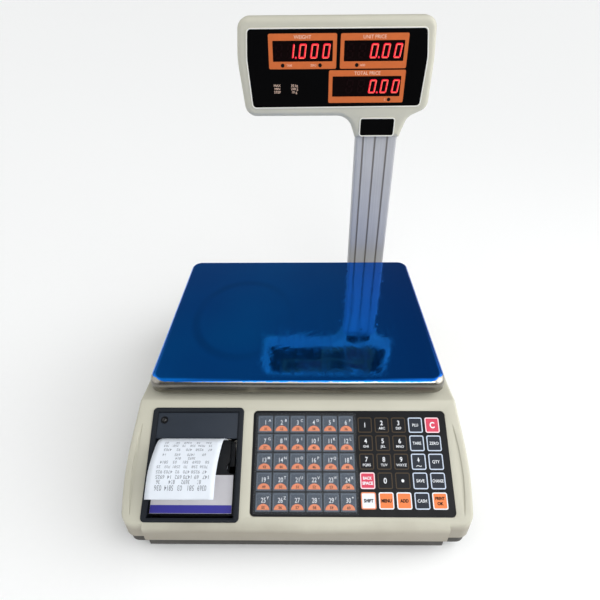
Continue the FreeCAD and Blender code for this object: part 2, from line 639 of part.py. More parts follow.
IDLER_V = PLATEN_V
IDLER_W = PLATEN_W - gear_reach(PLATEN_TEETH, IDLER_TEETH)
IDLER_PHASE = 180.0 / IDLER_TEETH          # a gap meets the platen gear's tooth
PINION_ANGLE = 180.0 / IDLER_TEETH         # the pinion sits on a line through one of the idler's teeth
PINION_V = IDLER_V - gear_reach(IDLER_TEETH, PINION_TEETH) * math.cos(math.radians(PINION_ANGLE))
PINION_W = IDLER_W + gear_reach(IDLER_TEETH, PINION_TEETH) * math.sin(math.radians(PINION_ANGLE))
PINION_PHASE = PINION_ANGLE + 180.0 + 180.0 / PINION_TEETH


def platen_gear():
    return on_deck(gear_at(PLATEN_TEETH, 1.5, PLATEN_V, PLATEN_W, 0))


def idler_gear():
    return on_deck(gear_at(IDLER_TEETH, 1.55, IDLER_V, IDLER_W, IDLER_PHASE))


def motor_pinion():
    """Pinion with the motor's shaft."""
    pinion = gear_at(PINION_TEETH, 0.9, PINION_V, PINION_W, PINION_PHASE)
    return on_deck(pinion.fuse(deck_rod(1.0, -70, PINION_V, PINION_W, 13.4)))


CHASSIS_X = (-124.7, -62.5)
BUCKET_R = 20.5
CHEEK_TOP_W = -8.0          # top of the bucket's end cheeks


def paper_motor():
    can = deck_rod(9.0, -83, PINION_V, PINION_W, 18.9)
    return on_deck(can.cut(deck_rod(1.05, -71, PINION_V, PINION_W, 8)))


def printer_chassis():
    """Paper bucket between two side walls, with the gear side carrying the motor and the idler's peg."""
    wall = 1.5
    left, right = CHASSIS_X
    front = ROLL_V + BUCKET_R + wall
    outer = deck_rod(BUCKET_R + wall, left, ROLL_V, ROLL_W, right - left).fuse(
        deck_box((left, right), (ROLL_V - BUCKET_R - wall, front), (ROLL_W, -17.5)))
    inner = deck_rod(BUCKET_R, left + wall, ROLL_V, ROLL_W, right - left - 2 * wall).fuse(
        deck_box((left + wall, right - wall), (ROLL_V - BUCKET_R, ROLL_V + BUCKET_R), (ROLL_W, 0)))
    bucket = outer.cut(inner).common(deck_box((left - 1, right + 1), (0, BAY_V[1]), (-60, CHEEK_TOP_W)))
    sides = [deck_box((x, x + wall), (BAY_V[0], ROLL_V - BUCKET_R), (-36, -17.5))
             for x in (left, right - wall)]
    shelf = deck_box((left, right), (front - wall, BAY_V[1]), (-20, -17.5))
    rear = deck_box((left, right), (BAY_V[0], BAY_V[0] + wall), (-28, -17.5))
    peg = deck_rod(1.5, right - 0.5, IDLER_V, IDLER_W, GEAR_X[1] - right + 1.0)
    chassis = fuse([bucket, shelf, rear, peg] + sides)
    return on_deck(chassis.cut(deck_rod(1.3, right - 3, PINION_V, PINION_W, 5)))


def paper_roll():
    return on_deck(deck_rod(ROLL_R, PAPER_X - PAPER_WIDTH / 2, ROLL_V, ROLL_W, PAPER_WIDTH).cut(
        deck_rod(6.0, PAPER_X - PAPER_WIDTH, ROLL_V, ROLL_W, 2 * PAPER_WIDTH)))


STRIP_THICK = 0.25
STRIP_PATH = [(NIP_V, -11.0), (NIP_V, 1.0), (37.4, 12.0), (41.2, 23.5), (50.2, 29.6), (61.0, 33.4),
              (72.0, 33.6), (88.0, 30.4)]


def receipt_strip():
    """Printed paper standing out of the slot and curling forward."""
    curve = Part.BSplineCurve()
    curve.interpolate(Points=[Vector(PAPER_X - PAPER_WIDTH / 2, -v, w) for v, w in STRIP_PATH])
    sheet = curve.toShape().extrude(Vector(PAPER_WIDTH, 0, 0))
    return on_deck(sheet.makeOffsetShape(STRIP_THICK, 0.01, fill=True))


# ---------------------------------------------------------------- electronics
MAIN_BOARD_Z, BOARD_THICK = 18.0, 1.6
MAIN_BOARD_X, MAIN_BOARD_Y = (-35.0, 110.0), (-162.0, -98.0)
MAIN_BOARD_SCREWS = [(x, y) for x in (-31.0, 106.0) for y in (-158.0, -102.0)]
POWER_BOARD_X, POWER_BOARD_Y = (36.0, 92.0), (66.0, 134.0)
POWER_BOARD_SCREWS = [(x, y) for x in (40.0, 88.0) for y in (70.0, 108.0)]


def main_board():
    top = MAIN_BOARD_Z + BOARD_THICK
    board = box(MAIN_BOARD_X, MAIN_BOARD_Y, (MAIN_BOARD_Z, top))
    parts_on_board = [box((x, x + 14), (-138, -124), (top, top + 2)) for x in (-10, 30)]
    parts_on_board += [box((x, x + 22), (-112, -104), (top, top + 7)) for x in (-22, 20, 61)]
    parts_on_board += [rod(4.0, (x, -146, top), Z_AXIS, 11) for x in (72, 84, 96)]
    return fuse([board] + parts_on_board)


def power_board():
    top = MAIN_BOARD_Z + BOARD_THICK
    board = box(POWER_BOARD_X, POWER_BOARD_Y, (MAIN_BOARD_Z, top))
    plug = box((CABLE_X - 6, CABLE_X + 6), (118, 130), (top, CABLE_Z + 4))
    coils = [rod(7.0, (52, y, top), Z_AXIS, 12) for y in (80, 98)]
    return fuse([board, plug, box((64, 70), (74, 104), (top, top + 18))] + coils)


BATTERY_X, BATTERY_Y, BATTERY_Z = (-72.0, 25.0), (87.0, 138.0), (FLOOR_Z, 36.0)


def battery():
    cell = rounded_box(BATTERY_X, BATTERY_Y, BATTERY_Z, 2.0)
    terminals = box((BATTERY_X[1] - 6, BATTERY_X[1] + 1), (95, 130), (BATTERY_Z[1] - 4, BATTERY_Z[1] + 1))
    return cell.cut(terminals)


def battery_bracket():
    """Steel strap over the battery, with one foot turned out on the tray."""
    strap, width = 1.5, (-34.0, -14.0)
    outer = box(width, grown(BATTERY_Y, strap), (FLOOR_Z, BATTERY_Z[1] + strap))
    foot = box(width, (BATTERY_Y[0] - 11, BATTERY_Y[0]), (FLOOR_Z, FLOOR_Z + strap))
    return fuse([outer, foot]).cut(box((-100, 100), BATTERY_Y, (0, BATTERY_Z[1])))


def power_inlet():
    """Barrel socket for the power adaptor, nut outside the rear wall."""
    body = box((JACK_X - 7, JACK_X + 7), (REAR_Y - 17, REAR_Y - WALL), (JACK_Z - 6, JACK_Z + 6))
    neck = rod(JACK_R, (JACK_X, REAR_Y - WALL - 1, JACK_Z), Y_AXIS, WALL + 3.5)
    nut = rod(7.5, (JACK_X, REAR_Y, JACK_Z), Y_AXIS, 2.0)
    barrel = rod(2.9, (JACK_X, REAR_Y - 11, JACK_Z), Y_AXIS, 20)
    pin = rod(1.0, (JACK_X, REAR_Y - 12, JACK_Z), Y_AXIS, 13)
    return fuse([fuse([body, neck, nut]).cut(barrel), pin])


ROCKER_AXIS_X = REAR_HALF_WIDTH - 2.0


def switch_housing():
    frame = rounded_box((REAR_HALF_WIDTH, REAR_HALF_WIDTH + 1.2), grown(ROCKER_Y, 1.5),
                        grown(ROCKER_Z, 1.5), 1.0, X_AXIS)
    case = box((REAR_HALF_WIDTH - 16, REAR_HALF_WIDTH), grown(ROCKER_Y, -0.2), grown(ROCKER_Z, -0.2))
    pocket = box((REAR_HALF_WIDTH - 9, REAR_HALF_WIDTH + 3), grown(ROCKER_Y, -1.4), grown(ROCKER_Z, -1.4))
    pivots = rod(1.05, (ROCKER_AXIS_X, (ROCKER_Y[0] + ROCKER_Y[1]) / 2, ROCKER_Z[0] - 1), Z_AXIS, 16)
    return cut(frame.fuse(case), [pocket, pivots])


def power_rocker():
    """Rocker tipped towards OFF at rest; it pivots on an upright pin line."""
    middle_y = (ROCKER_Y[0] + ROCKER_Y[1]) / 2
    wedge = Part.Face(Part.makePolygon([
        Vector(ROCKER_AXIS_X - 3.0, middle_y - 4.0, 0), Vector(ROCKER_AXIS_X - 3.0, middle_y + 4.0, 0),
        Vector(ROCKER_AXIS_X + 2.4, middle_y + 7.4, 0), Vector(ROCKER_AXIS_X + 3.0, middle_y, 0),
        Vector(ROCKER_AXIS_X + 2.4, middle_y - 7.4, 0), Vector(ROCKER_AXIS_X - 3.0, middle_y - 4.0, 0)]))
    paddle = wedge.extrude(Vector(0, 0, ROCKER_Z[1] - ROCKER_Z[0] - 3.4))
    paddle.translate(Vector(0, 0, ROCKER_Z[0] + 1.7))
    rocker = paddle.fuse(rod(1.0, (ROCKER_AXIS_X, middle_y, ROCKER_Z[0] + 0.5), Z_AXIS, 12))
    rocker.rotate(Vector(ROCKER_AXIS_X, middle_y, 0), Z_AXIS, -8.0)
    return rocker


# ---------------------------------------------------------------- pole
POLE_GROOVES_X = (76.5, 90.3, 104.7)
POLE_WALL = 2.2


def pole_block(grow, z):
    return rounded_box((POLE_X - POLE_WIDTH / 2 - grow, POLE_X + POLE_WIDTH / 2 + grow),
                       (POLE_Y - POLE_DEPTH / 2 - grow, POLE_Y + POLE_DEPTH / 2 + grow), z, 3.0 + grow)


def pole_extrusion():
    """Aluminium section with three grooves on each broad face."""
    beyond = grown(POLE_Z, 1)
    tube = pole_block(0, POLE_Z).cut(pole_block(-POLE_WALL, beyond))
    grooves = []
    for x in POLE_GROOVES_X:
        for y in (POLE_Y - POLE_DEPTH / 2, POLE_Y + POLE_DEPTH / 2):
            grooves.append(rounded_box(grown((x, x), 0.9), grown((y, y), 1.1), beyond, 0.3))
    holes = [rod(1.6, (POLE_X, POLE_Y, z), Y_AXIS, 20) for z in POLE_SCREWS_Z]
    return cut(tube, grooves + holes)


POLE_SCREWS_Z = (62.0, 76.0, 283.0)


def pole_socket():
    """Moulded socket behind the rear wall that clamps the foot of the pole and turns the cable in."""
    block = rounded_box((62, 122.4), (REAR_Y, HEAD_Y[1]), (BASE_Z + 1, SOCKET_TOP_Z), 3.0)
    top = [edge for edge in block.Edges if edge.BoundBox.ZMin > SOCKET_TOP_Z - 0.01]
    block = block.makeFillet(2.0, top)
    holes = [pole_block(0.1, (POLE_Z[0], SOCKET_TOP_Z + 2)),
             box((POLE_X - 20, POLE_X + 20), (POLE_Y - 12, POLE_Y + 7), (BASE_Z + 4, POLE_Z[0] + 1)),
             rod(CABLE_HOLE_R, (CABLE_X, REAR_Y - 5, CABLE_Z), Y_AXIS, THROUGH)]
    for z in POLE_SCREWS_Z[:2]:
        holes.append(rod(1.6, (POLE_X, POLE_Y, z), Y_AXIS, 20))
        holes.append(rod(3.1, (POLE_X, HEAD_Y[1] - 1.6, z), Y_AXIS, 4))
    return cut(block, holes)


def display_cable():
    """Display lead from the power board, through the socket and up inside the pole."""
    plug_y, top_z = 130.0, 305.0
    turn = CABLE_BEND * (1 - math.sqrt(0.5))
    plug = Vector(CABLE_X, plug_y, CABLE_Z)
    bend_start = Vector(CABLE_X, POLE_Y - CABLE_BEND, CABLE_Z)
    bend_middle = Vector(CABLE_X, POLE_Y - turn, CABLE_Z + turn)
    bend_end = Vector(CABLE_X, POLE_Y, CABLE_Z + CABLE_BEND)
    path = Part.Wire([Part.LineSegment(plug, bend_start).toShape(),
                      Part.Arc(bend_start, bend_middle, bend_end).toShape(),
                      Part.LineSegment(bend_end, Vector(CABLE_X, POLE_Y, top_z)).toShape()])
    section = Part.Wire([Part.Circle(plug, Y_AXIS, CABLE_R).toShape()])
    lead = path.makePipeShell([section], True, False)
    print("display cable: length %.1f mm, bend radius %.1f mm, volume %.1f of %.1f mm3" % (
        path.Length, CABLE_BEND, lead.Volume, math.pi * CABLE_R ** 2 * path.Length))
    return lead


# ---------------------------------------------------------------- display head
HEAD_CORNERS = [
    (-61.5, 393.9, 12), (-64.9, 355.0, 90), (-59.0, 296.1, 13), (57.8, 295.9, 19), (66.4, 271.9, 0.4),
    (118.0, 271.9, 0.4), (125.6, 294.2, 15), (146.9, 304.0, 11), (147.1, 355.0, 120), (144.0, 393.5, 12)]
LENS_CORNERS = [
    (-51.8, 383.0, 4), (-53.9, 356.0, 60), (-50.4, 306.4, 4),
    (136.3, 307.3, 4), (138.4, 356.0, 60), (134.6, 382.8, 4)]
BADGE_CORNERS = [(71.7, 293.6, 2.2), (71.7, 274.9, 2.2), (110.2, 274.9, 2.2), (110.2, 293.6, 2.2)]
HEAD_SCREWS = [(-56.5, 375.0), (-55.5, 312.0), (40.0, 302.2), (141.0, 318.0), (140.0, 376.0), (45.0, 388.3)]


def shrink(wire, amount):
    return wire.makeOffset2D(-amount)


def head_outline(y):
    return rounded_outline(HEAD_CORNERS, y)


def head_half(y_face, depth):
    """Half of the head's casing: a dish with a rounded rim, closed on the y_face side."""
    solid = slab(head_outline(y_face), depth)
    rim = [edge for edge in solid.Edges
           if abs(edge.BoundBox.YMin - y_face) < 0.01 and abs(edge.BoundBox.YMax - y_face) < 0.01
           and edge.BoundBox.ZMax > 273]
    solid = solid.makeFillet(HEAD_ROUND, rim)
    step = math.copysign(HEAD_WALL, depth)
    hollow = slab(shrink(head_outline(y_face + step), HEAD_WALL), depth)
    return solid.cut(hollow)


def head_bosses(y, length, radius):
    return [rod(radius, (x, y, z), Y_AXIS, length) for x, z in HEAD_SCREWS]


def lens_recess(y_face, sign):
    """Cutters for a lens seat and the opening behind it, on the front (+1) or the rear (-1)."""
    seat = slab(rounded_outline(LENS_CORNERS, y_face - sign), sign * (LENS_THICK + 1.0))
    opening = slab(shrink(rounded_outline(LENS_CORNERS, y_face - sign), 4.0), sign * 8.0)
    return [seat, opening]


def head_front_shell():
    shell = head_half(HEAD_Y[0], HEAD_SPLIT_Y - HEAD_Y[0])
    shell = fuse([shell] + [boss.common(slab(head_outline(HEAD_Y[0] + 1), 12)) for boss in
                            head_bosses(HEAD_Y[0] + 1, HEAD_SPLIT_Y - HEAD_Y[0] - 1, 3.4)])
    cuts = lens_recess(HEAD_Y[0], 1) + [pole_block(0.1, (250, POLE_Z[1] + 0.1))]
    cuts.append(slab(rounded_outline(BADGE_CORNERS, HEAD_Y[0] - 1), 1.6))
    cuts += [rod(1.3, (x, HEAD_Y[0] + 5, z), Y_AXIS, 20) for x, z in HEAD_SCREWS]
    return cut(shell, cuts)


def head_rear_shell():
    shell = head_half(HEAD_Y[1], HEAD_SPLIT_Y - HEAD_Y[1])
    shell = fuse([shell] + [boss.common(slab(head_outline(HEAD_SPLIT_Y), 11.5)) for boss in
                            head_bosses(HEAD_SPLIT_Y, 11.5, 3.4)])
    cuts = lens_recess(HEAD_Y[1], -1) + [pole_block(0.1, (250, POLE_Z[1] + 0.1))]
    for x, z in HEAD_SCREWS + [(POLE_X, POLE_SCREWS_Z[2])]:
        cuts.append(rod(1.6, (x, HEAD_SPLIT_Y - 2, z), Y_AXIS, 20))
        cuts.append(rod(3.1, (x, HEAD_Y[1] - 1.6, z), Y_AXIS, 4))
    return cut(shell, cuts)


def lens(y_face, sign):
    return slab(shrink(rounded_outline(LENS_CORNERS, y_face), 0.15), sign * LENS_THICK)


def front_lens():
    return lens(HEAD_Y[0], 1)


def rear_lens():
    return lens(HEAD_Y[1], -1)


def neck_badge():
    return slab(shrink(rounded_outline(BADGE_CORNERS, HEAD_Y[0]), 0.15), 0.6)


BOARD_Y = 169.7                      # front of the display board
MODULE_DEPTH = 7.8
MODULE_X = {"weight": (-25.7, 37.3), "unit_price": (49.7, 112.7), "total_price": (49.7, 112.7)}
MODULE_Z = {"weight": (352.9, 371.9), "unit_price": (352.9, 371.9), "total_price": (318.1, 337.1)}


def display_board():
    return box((-46, 130), (BOARD_Y, BOARD_Y + BOARD_THICK), (311, 379))


def led_modules():
    """Five-digit modules for weight, unit price and total price, on both faces of the board."""
    modules = []
    for name in MODULE_X:
        back = BOARD_Y + BOARD_THICK
        modules.append(box(MODULE_X[name], (BOARD_Y - MODULE_DEPTH, BOARD_Y), MODULE_Z[name]))
        modules.append(box(MODULE_X[name], (back, back + MODULE_DEPTH - 0.2), MODULE_Z[name]))
    return Part.Compound(modules)


def display_screws():
    """Screws from behind: six through the head, one into the pole's top and two into its foot."""
    seat = HEAD_Y[1] - 1.6
    screws = []
    for x, z in HEAD_SCREWS:
        screws.append(socket_head_screw(1.25, 2.9, 1.5, (x, seat, z), Y_AXIS * -1, 13.0))
    for z in POLE_SCREWS_Z:
        screws.append(socket_head_screw(1.25, 2.9, 1.5, (POLE_X, seat, z), Y_AXIS * -1, 9.0))
    return Part.Compound(screws)


# ---------------------------------------------------------------- export
SUB_PARTS = [
    base_tray, upper_housing, housing_screws,
    load_cell, load_cell_base_bolts, load_cell_platform_bolts, platform_spider, platform_pads,
    overload_screws,
    platter, platter_film, platter_locators, level_holder, level_vial,
    keypad_circuit, keypad_overlay, film_pocket,
    printer_bezel, head_cover, feed_button, print_head, printer_door, door_hinge_pin, door_lever, door_card,
    platen_roller, platen_shaft, platen_gear, idler_gear, motor_pinion, paper_motor, printer_chassis,
    paper_roll, receipt_strip,
    main_board, power_board, battery, battery_bracket, power_inlet, switch_housing, power_rocker,
    pole_extrusion, pole_socket, display_cable,
    head_front_shell, head_rear_shell, front_lens, rear_lens, neck_badge, display_board, led_modules,
    display_screws]


def build():
    shapes = {maker.__name__: maker() for maker in SUB_PARTS}
    for corner, (x, y) in FOOT_POINTS.items():
        shapes["foot_wheel_" + corner] = foot_wheel(x, y)
        shapes["foot_sole_" + corner] = foot_sole(x, y)
    return shapes


def main():
    os.makedirs("parts", exist_ok=True)
    for name, shape in build().items():
        if not shape.isValid() or shape.Volume <= 0:
            print("check this shape:", name, shape.isValid(), shape.Volume)
        shape.exportStep("parts/" + name + ".step")
        extent = shape.BoundBox
        print("%-26s %2d solids  X %7.1f %7.1f  Y %7.1f %7.1f  Z %6.1f %6.1f" % (
            name, len(shape.Solids), extent.XMin, extent.XMax, extent.YMin, extent.YMax,
            extent.ZMin, extent.ZMax))


main()
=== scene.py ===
"""Retail price scale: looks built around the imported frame. Metres; +X right, +Y away from the operator, +Z up."""

import json
import logging
import math
from dataclasses import dataclass, field
from enum import Enum
from typing import Callable

import bmesh
import bpy
from mathutils import Matrix, Vector


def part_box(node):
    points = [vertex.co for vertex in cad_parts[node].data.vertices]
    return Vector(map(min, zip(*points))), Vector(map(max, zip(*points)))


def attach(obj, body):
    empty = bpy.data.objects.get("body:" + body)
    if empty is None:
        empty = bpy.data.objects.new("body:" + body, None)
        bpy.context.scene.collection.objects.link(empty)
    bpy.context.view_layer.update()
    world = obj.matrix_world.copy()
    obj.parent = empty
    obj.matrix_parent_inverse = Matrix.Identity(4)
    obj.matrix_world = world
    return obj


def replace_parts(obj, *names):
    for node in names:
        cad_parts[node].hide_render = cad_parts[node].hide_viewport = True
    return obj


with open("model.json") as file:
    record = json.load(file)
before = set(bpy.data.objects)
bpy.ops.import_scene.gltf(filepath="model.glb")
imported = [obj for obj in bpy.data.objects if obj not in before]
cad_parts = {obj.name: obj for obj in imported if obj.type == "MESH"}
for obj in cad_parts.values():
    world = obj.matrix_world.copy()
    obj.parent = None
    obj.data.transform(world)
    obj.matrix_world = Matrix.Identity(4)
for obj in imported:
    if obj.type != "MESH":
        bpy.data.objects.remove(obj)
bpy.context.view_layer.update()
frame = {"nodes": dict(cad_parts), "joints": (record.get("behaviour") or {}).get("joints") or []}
MM = 0.001

logging.basicConfig(level=logging.INFO, format="%(message)s")
LOG = logging.getLogger("price_scale")

Point2 = tuple[float, float]
Point3 = tuple[float, float, float]
Colour = tuple[float, float, float, float]
Socket = bpy.types.NodeSocket
Shape = bmesh.types.BMesh


def linear(hex_colour: str) -> Colour:
    """Turns a display colour such as c9c6b4 into linear RGBA.

    Args:
        hex_colour: Six hexadecimal digits.

    Returns:
        The linear red, green and blue with an alpha of 1.
    """
    parts = [int(hex_colour[i:i + 2], 16) / 255.0 for i in (0, 2, 4)]
    bent = [c / 12.92 if c <= 0.04045 else ((c + 0.055) / 1.055) ** 2.4 for c in parts]
    return (bent[0], bent[1], bent[2], 1.0)


def darker(colour: Colour, share: float) -> Colour:
    """The colour with its light scaled by a share."""
    return (colour[0] * share, colour[1] * share, colour[2] * share, 1.0)


# ---------------------------------------------------------------- finishes
class NodeSheet:
    """A material's node tree, with short ways to add and join its nodes."""

    def __init__(self, name: str, colour: str) -> None:
        """Starts a material with an empty Principled shader.

        Args:
            name: The material's name.
            colour: Its main colour.
        """
        self.material = bpy.data.materials.new(name)
        self.material.use_nodes = True
        self.tree = self.material.node_tree
        self.shader = self.tree.nodes["Principled BSDF"]
        self.base = linear(colour)
        self.here = self.place()

    def add(self, kind: str, **settings: object) -> bpy.types.Node:
        """Adds a node.

        Args:
            kind: The node's type.
            **settings: Its plain properties.

        Returns:
            The node.
        """
        node = self.tree.nodes.new(kind)
        for key, value in settings.items():
            setattr(node, key, value)
        return node

    def feed(self, node: bpy.types.Node, **values: object) -> None:
        """Sets constants on a node's sockets; underscores stand for spaces."""
        for key, value in values.items():
            node.inputs[key.replace("_", " ")].default_value = value

    def link(self, source: Socket, target: Socket) -> None:
        """Joins an output to an input."""
        self.tree.links.new(source, target)

    def set(self, **values: object) -> None:
        """Sets constants on the shader's own sockets."""
        self.feed(self.shader, **values)

    def place(self, stretch: Point3 = (1, 1, 1), turn: Point3 = (0, 0, 0)) -> Socket:
        """Object coordinates, stretched and turned.

        Args:
            stretch: Scale along each axis.
            turn: Rotation about each axis, in radians.

        Returns:
            The vector output.
        """
        coordinates = self.add("ShaderNodeTexCoord")
        mapping = self.add("ShaderNodeMapping")
        self.feed(mapping, Scale=stretch, Rotation=turn)
        self.link(coordinates.outputs["Object"], mapping.inputs["Vector"])
        return mapping.outputs["Vector"]

    def axis(self, letter: str) -> Socket:
        """One object coordinate in metres.

        Args:
            letter: X, Y or Z.

        Returns:
            The coordinate.
        """
        coordinates = self.add("ShaderNodeTexCoord")
        parts = self.add("ShaderNodeSeparateXYZ")
        self.link(coordinates.outputs["Object"], parts.inputs[0])
        return parts.outputs[letter]

    def noise(self, size: float, detail: float = 3.0, roughness: float = 0.5, distortion: float = 0.0,
              place: Socket | None = None) -> Socket:
        """Cloudy noise.

        Args:
            size: About how wide its features are, in metres.
            detail: How many finer layers it has.
            roughness: How strong the finer layers are.
            distortion: How far it is swirled.
            place: Coordinates, where they aren't the plain ones.

        Returns:
            Its value, mostly between 0.3 and 0.7.
        """
        node = self.add("ShaderNodeTexNoise")
        self.feed(node, Scale=1.0 / size, Detail=detail, Roughness=roughness, Distortion=distortion)
        self.link(self.here if place is None else place, node.inputs["Vector"])
        return node.outputs["Fac"]

    def spots(self, size: float) -> Socket:
        """Scattered points.

        Args:
            size: About how far apart they lie, in metres.

        Returns:
            Distance to the nearest point.
        """
        node = self.add("ShaderNodeTexVoronoi", feature="F1")
        self.feed(node, Scale=1.0 / size)
        self.link(self.here, node.inputs["Vector"])
        return node.outputs["Distance"]

    def spread(self, value: Socket, low: float, high: float, to_low: float = 0.0, to_high: float = 1.0) -> Socket:
        """Maps one range to another, clamped.

        Args:
            value: What is mapped.
            low: Value that becomes to_low.
            high: Value that becomes to_high.
            to_low: Result at and below low.
            to_high: Result at and above high.

        Returns:
            The mapped value.
        """
        node = self.add("ShaderNodeMapRange")
        self.feed(node, From_Min=low, From_Max=high, To_Min=to_low, To_Max=to_high)
        self.link(value, node.inputs["Value"])
        return node.outputs["Result"]

    def step(self, operation: str, first: Socket, second: Socket | float = 0.0) -> Socket:
        """One arithmetic step.

        Args:
            operation: The step's name, such as ADD.
            first: First value.
            second: Second value, or a number.

        Returns:
            The result.
        """
        node = self.add("ShaderNodeMath", operation=operation)
        self.link(first, node.inputs[0])
        if isinstance(second, float):
            node.inputs[1].default_value = second
        else:
            self.link(second, node.inputs[1])
        return node.outputs["Value"]

    def times(self, first: Socket, second: Socket | float) -> Socket:
        """The product of two values."""
        return self.step("MULTIPLY", first, second)

    def plus(self, first: Socket, second: Socket | float) -> Socket:
        """The sum of two values."""
        return self.step("ADD", first, second)

    def away(self, value: Socket, middle: float) -> Socket:
        """How far a value is from a middle one."""
        return self.step("ABSOLUTE", self.step("SUBTRACT", value, middle))

    def mix(self, share: Socket, under: Socket | Colour, top: Colour) -> Socket:
        """Lays an even colour over another.

        Args:
            share: How much of the even colour shows, from 0 to 1.
            under: The colour below, even or varied.
            top: The even colour.

        Returns:
            The mixed colour.
        """
        node = self.add("ShaderNodeMix", data_type="RGBA")
        values = {"Factor_Float": share, "A_Color": under, "B_Color": top}
        for socket in node.inputs:
            value = values.get(socket.identifier)
            if isinstance(value, Socket):
                self.link(value, socket)
            elif value is not None:
                socket.default_value = value
        return next(out for out in node.outputs if out.identifier == "Result_Color")

    def clouded(self, pattern: Socket, share: float, low: float = 0.3, high: float = 0.7) -> Socket:
        """The main colour, darker where a pattern is weak.

        Args:
            pattern: The pattern.
            share: How much light the darker places keep.
            low: The pattern's value where it is weak.
            high: Its value where the main colour is reached.

        Returns:
            The varied colour.
        """
        return self.mix(self.spread(pattern, low, high), darker(self.base, share), self.base)

    def colour(self, source: Socket) -> None:
        """Feeds the base colour."""
        self.link(source, self.shader.inputs["Base Color"])

    def rough(self, pattern: Socket, smooth: float, coarse: float, low: float = 0.3, high: float = 0.7) -> None:
        """Feeds the roughness from a pattern.

        Args:
            pattern: The pattern.
            smooth: Roughness where it is weak.
            coarse: Roughness where it is strong.
            low: The pattern's value where it is weak.
            high: Its value where it is strong.
        """
        self.link(self.spread(pattern, low, high, smooth, coarse), self.shader.inputs["Roughness"])

    def bump(self, height: Socket, distance: float, strength: float) -> None:
        """Feeds the normal from a height.

        Args:
            height: Height from 0 to 1.
            distance: What a height of 1 means, in metres.
            strength: Share of the effect.
        """
        node = self.add("ShaderNodeBump")
        self.feed(node, Strength=strength, Distance=distance)
        self.link(height, node.inputs["Height"])
        self.link(node.outputs["Normal"], self.shader.inputs["Normal"])


@dataclass(frozen=True)
class Stock:
    """What every finish has: a name, a main colour and a surface worked from them."""

    name: str
    colour: str

    def build(self) -> bpy.types.Material:
        """Makes the material.

        Returns:
            The finished material.
        """
        sheet = NodeSheet(self.name, self.colour)
        self.work(sheet)
        return sheet.material

    def work(self, sheet: NodeSheet) -> None:
        """Works the surface; each kind of finish has its own way."""
        raise NotImplementedError


@dataclass(frozen=True)
class MouldedPlastic(Stock):
    """Injection moulded plastic with a fine spark-eroded grain and faint handling marks, and optional painted shade
    that darkens it towards the bottom.
    """

    roughness: float = 0.5
    grain: float = 0.0006
    depth: float = 0.00004
    mottle: float = 0.9
    dust: str = ""
    shine: float = 0.45
    # colour of the painted shade low down on the part, and the two heights over which it fades out
    painted_shade: str = ""
    painted_shade_low: float = 0.039
    painted_shade_high: float = 0.048

    def work(self, sheet: NodeSheet) -> None:
        """Works the surface.

        Args:
            sheet: The material's nodes.
        """
        clouds = sheet.noise(0.06, detail=5.0, roughness=0.6)
        tone = sheet.clouded(clouds, self.mottle)
        if self.dust:
            specks = sheet.spread(sheet.noise(0.004, detail=6.0, roughness=0.75), 0.56, 0.8, to_high=0.35)
            tone = sheet.mix(specks, tone, linear(self.dust))
        # painted shade: the colour darkens towards the bottom, fading out between the two heights
        if self.painted_shade:
            level = sheet.plus(sheet.axis("Z"), sheet.times(clouds, 0.012))
            painted_shade_share = sheet.spread(level, self.painted_shade_low, self.painted_shade_high, to_low=0.72, to_high=0.0)
            tone = sheet.mix(painted_shade_share, tone, linear(self.painted_shade))
        sheet.colour(tone)
        wear = sheet.noise(0.018, detail=4.0, roughness=0.65)
        sheet.rough(wear, self.roughness - 0.06, self.roughness + 0.07)
        sheet.bump(sheet.noise(self.grain, detail=2.0, roughness=0.6), self.depth, 0.6)
        sheet.set(Specular_IOR_Level=self.shine)


@dataclass(frozen=True)
class BrushedMetal(Stock):
    """Metal with fine streaks along one axis, and painted shade along grooves at places across it."""

    roughness: float = 0.28
    along: Point3 = (0.02, 1.0, 1.0)
    streak: float = 0.0007
    depth: float = 0.00002
    shade: float = 0.82
    metallic: float = 1.0
    shine: float = 0.5
    grooves: tuple[float, ...] = ()
    groove_shade_colour: str = "8c8883"
    groove_shade_edge: Point2 = (0.0005, 0.0017)

    def work(self, sheet: NodeSheet) -> None:
        """Works the surface.

        Args:
            sheet: The material's nodes.
        """
        drawn = sheet.noise(self.streak, roughness=0.6, place=sheet.place(self.along))
        clouds = sheet.noise(0.05, detail=4.0, roughness=0.6)
        both = sheet.plus(sheet.times(drawn, 0.6), sheet.times(clouds, 0.4))
        tone = sheet.clouded(both, self.shade, 0.35, 0.65)
        # painted shade: a darker colour along each groove, fading out across X
        for middle in self.grooves:
            line = sheet.spread(sheet.away(sheet.axis("X"), middle), *self.groove_shade_edge, to_low=0.9, to_high=0.0)
            tone = sheet.mix(line, tone, linear(self.groove_shade_colour))
        sheet.colour(tone)
        sheet.rough(both, self.roughness - 0.06, self.roughness + 0.08)
        sheet.bump(drawn, self.depth, 0.5)
        sheet.set(Metallic=self.metallic, Specular_IOR_Level=self.shine)


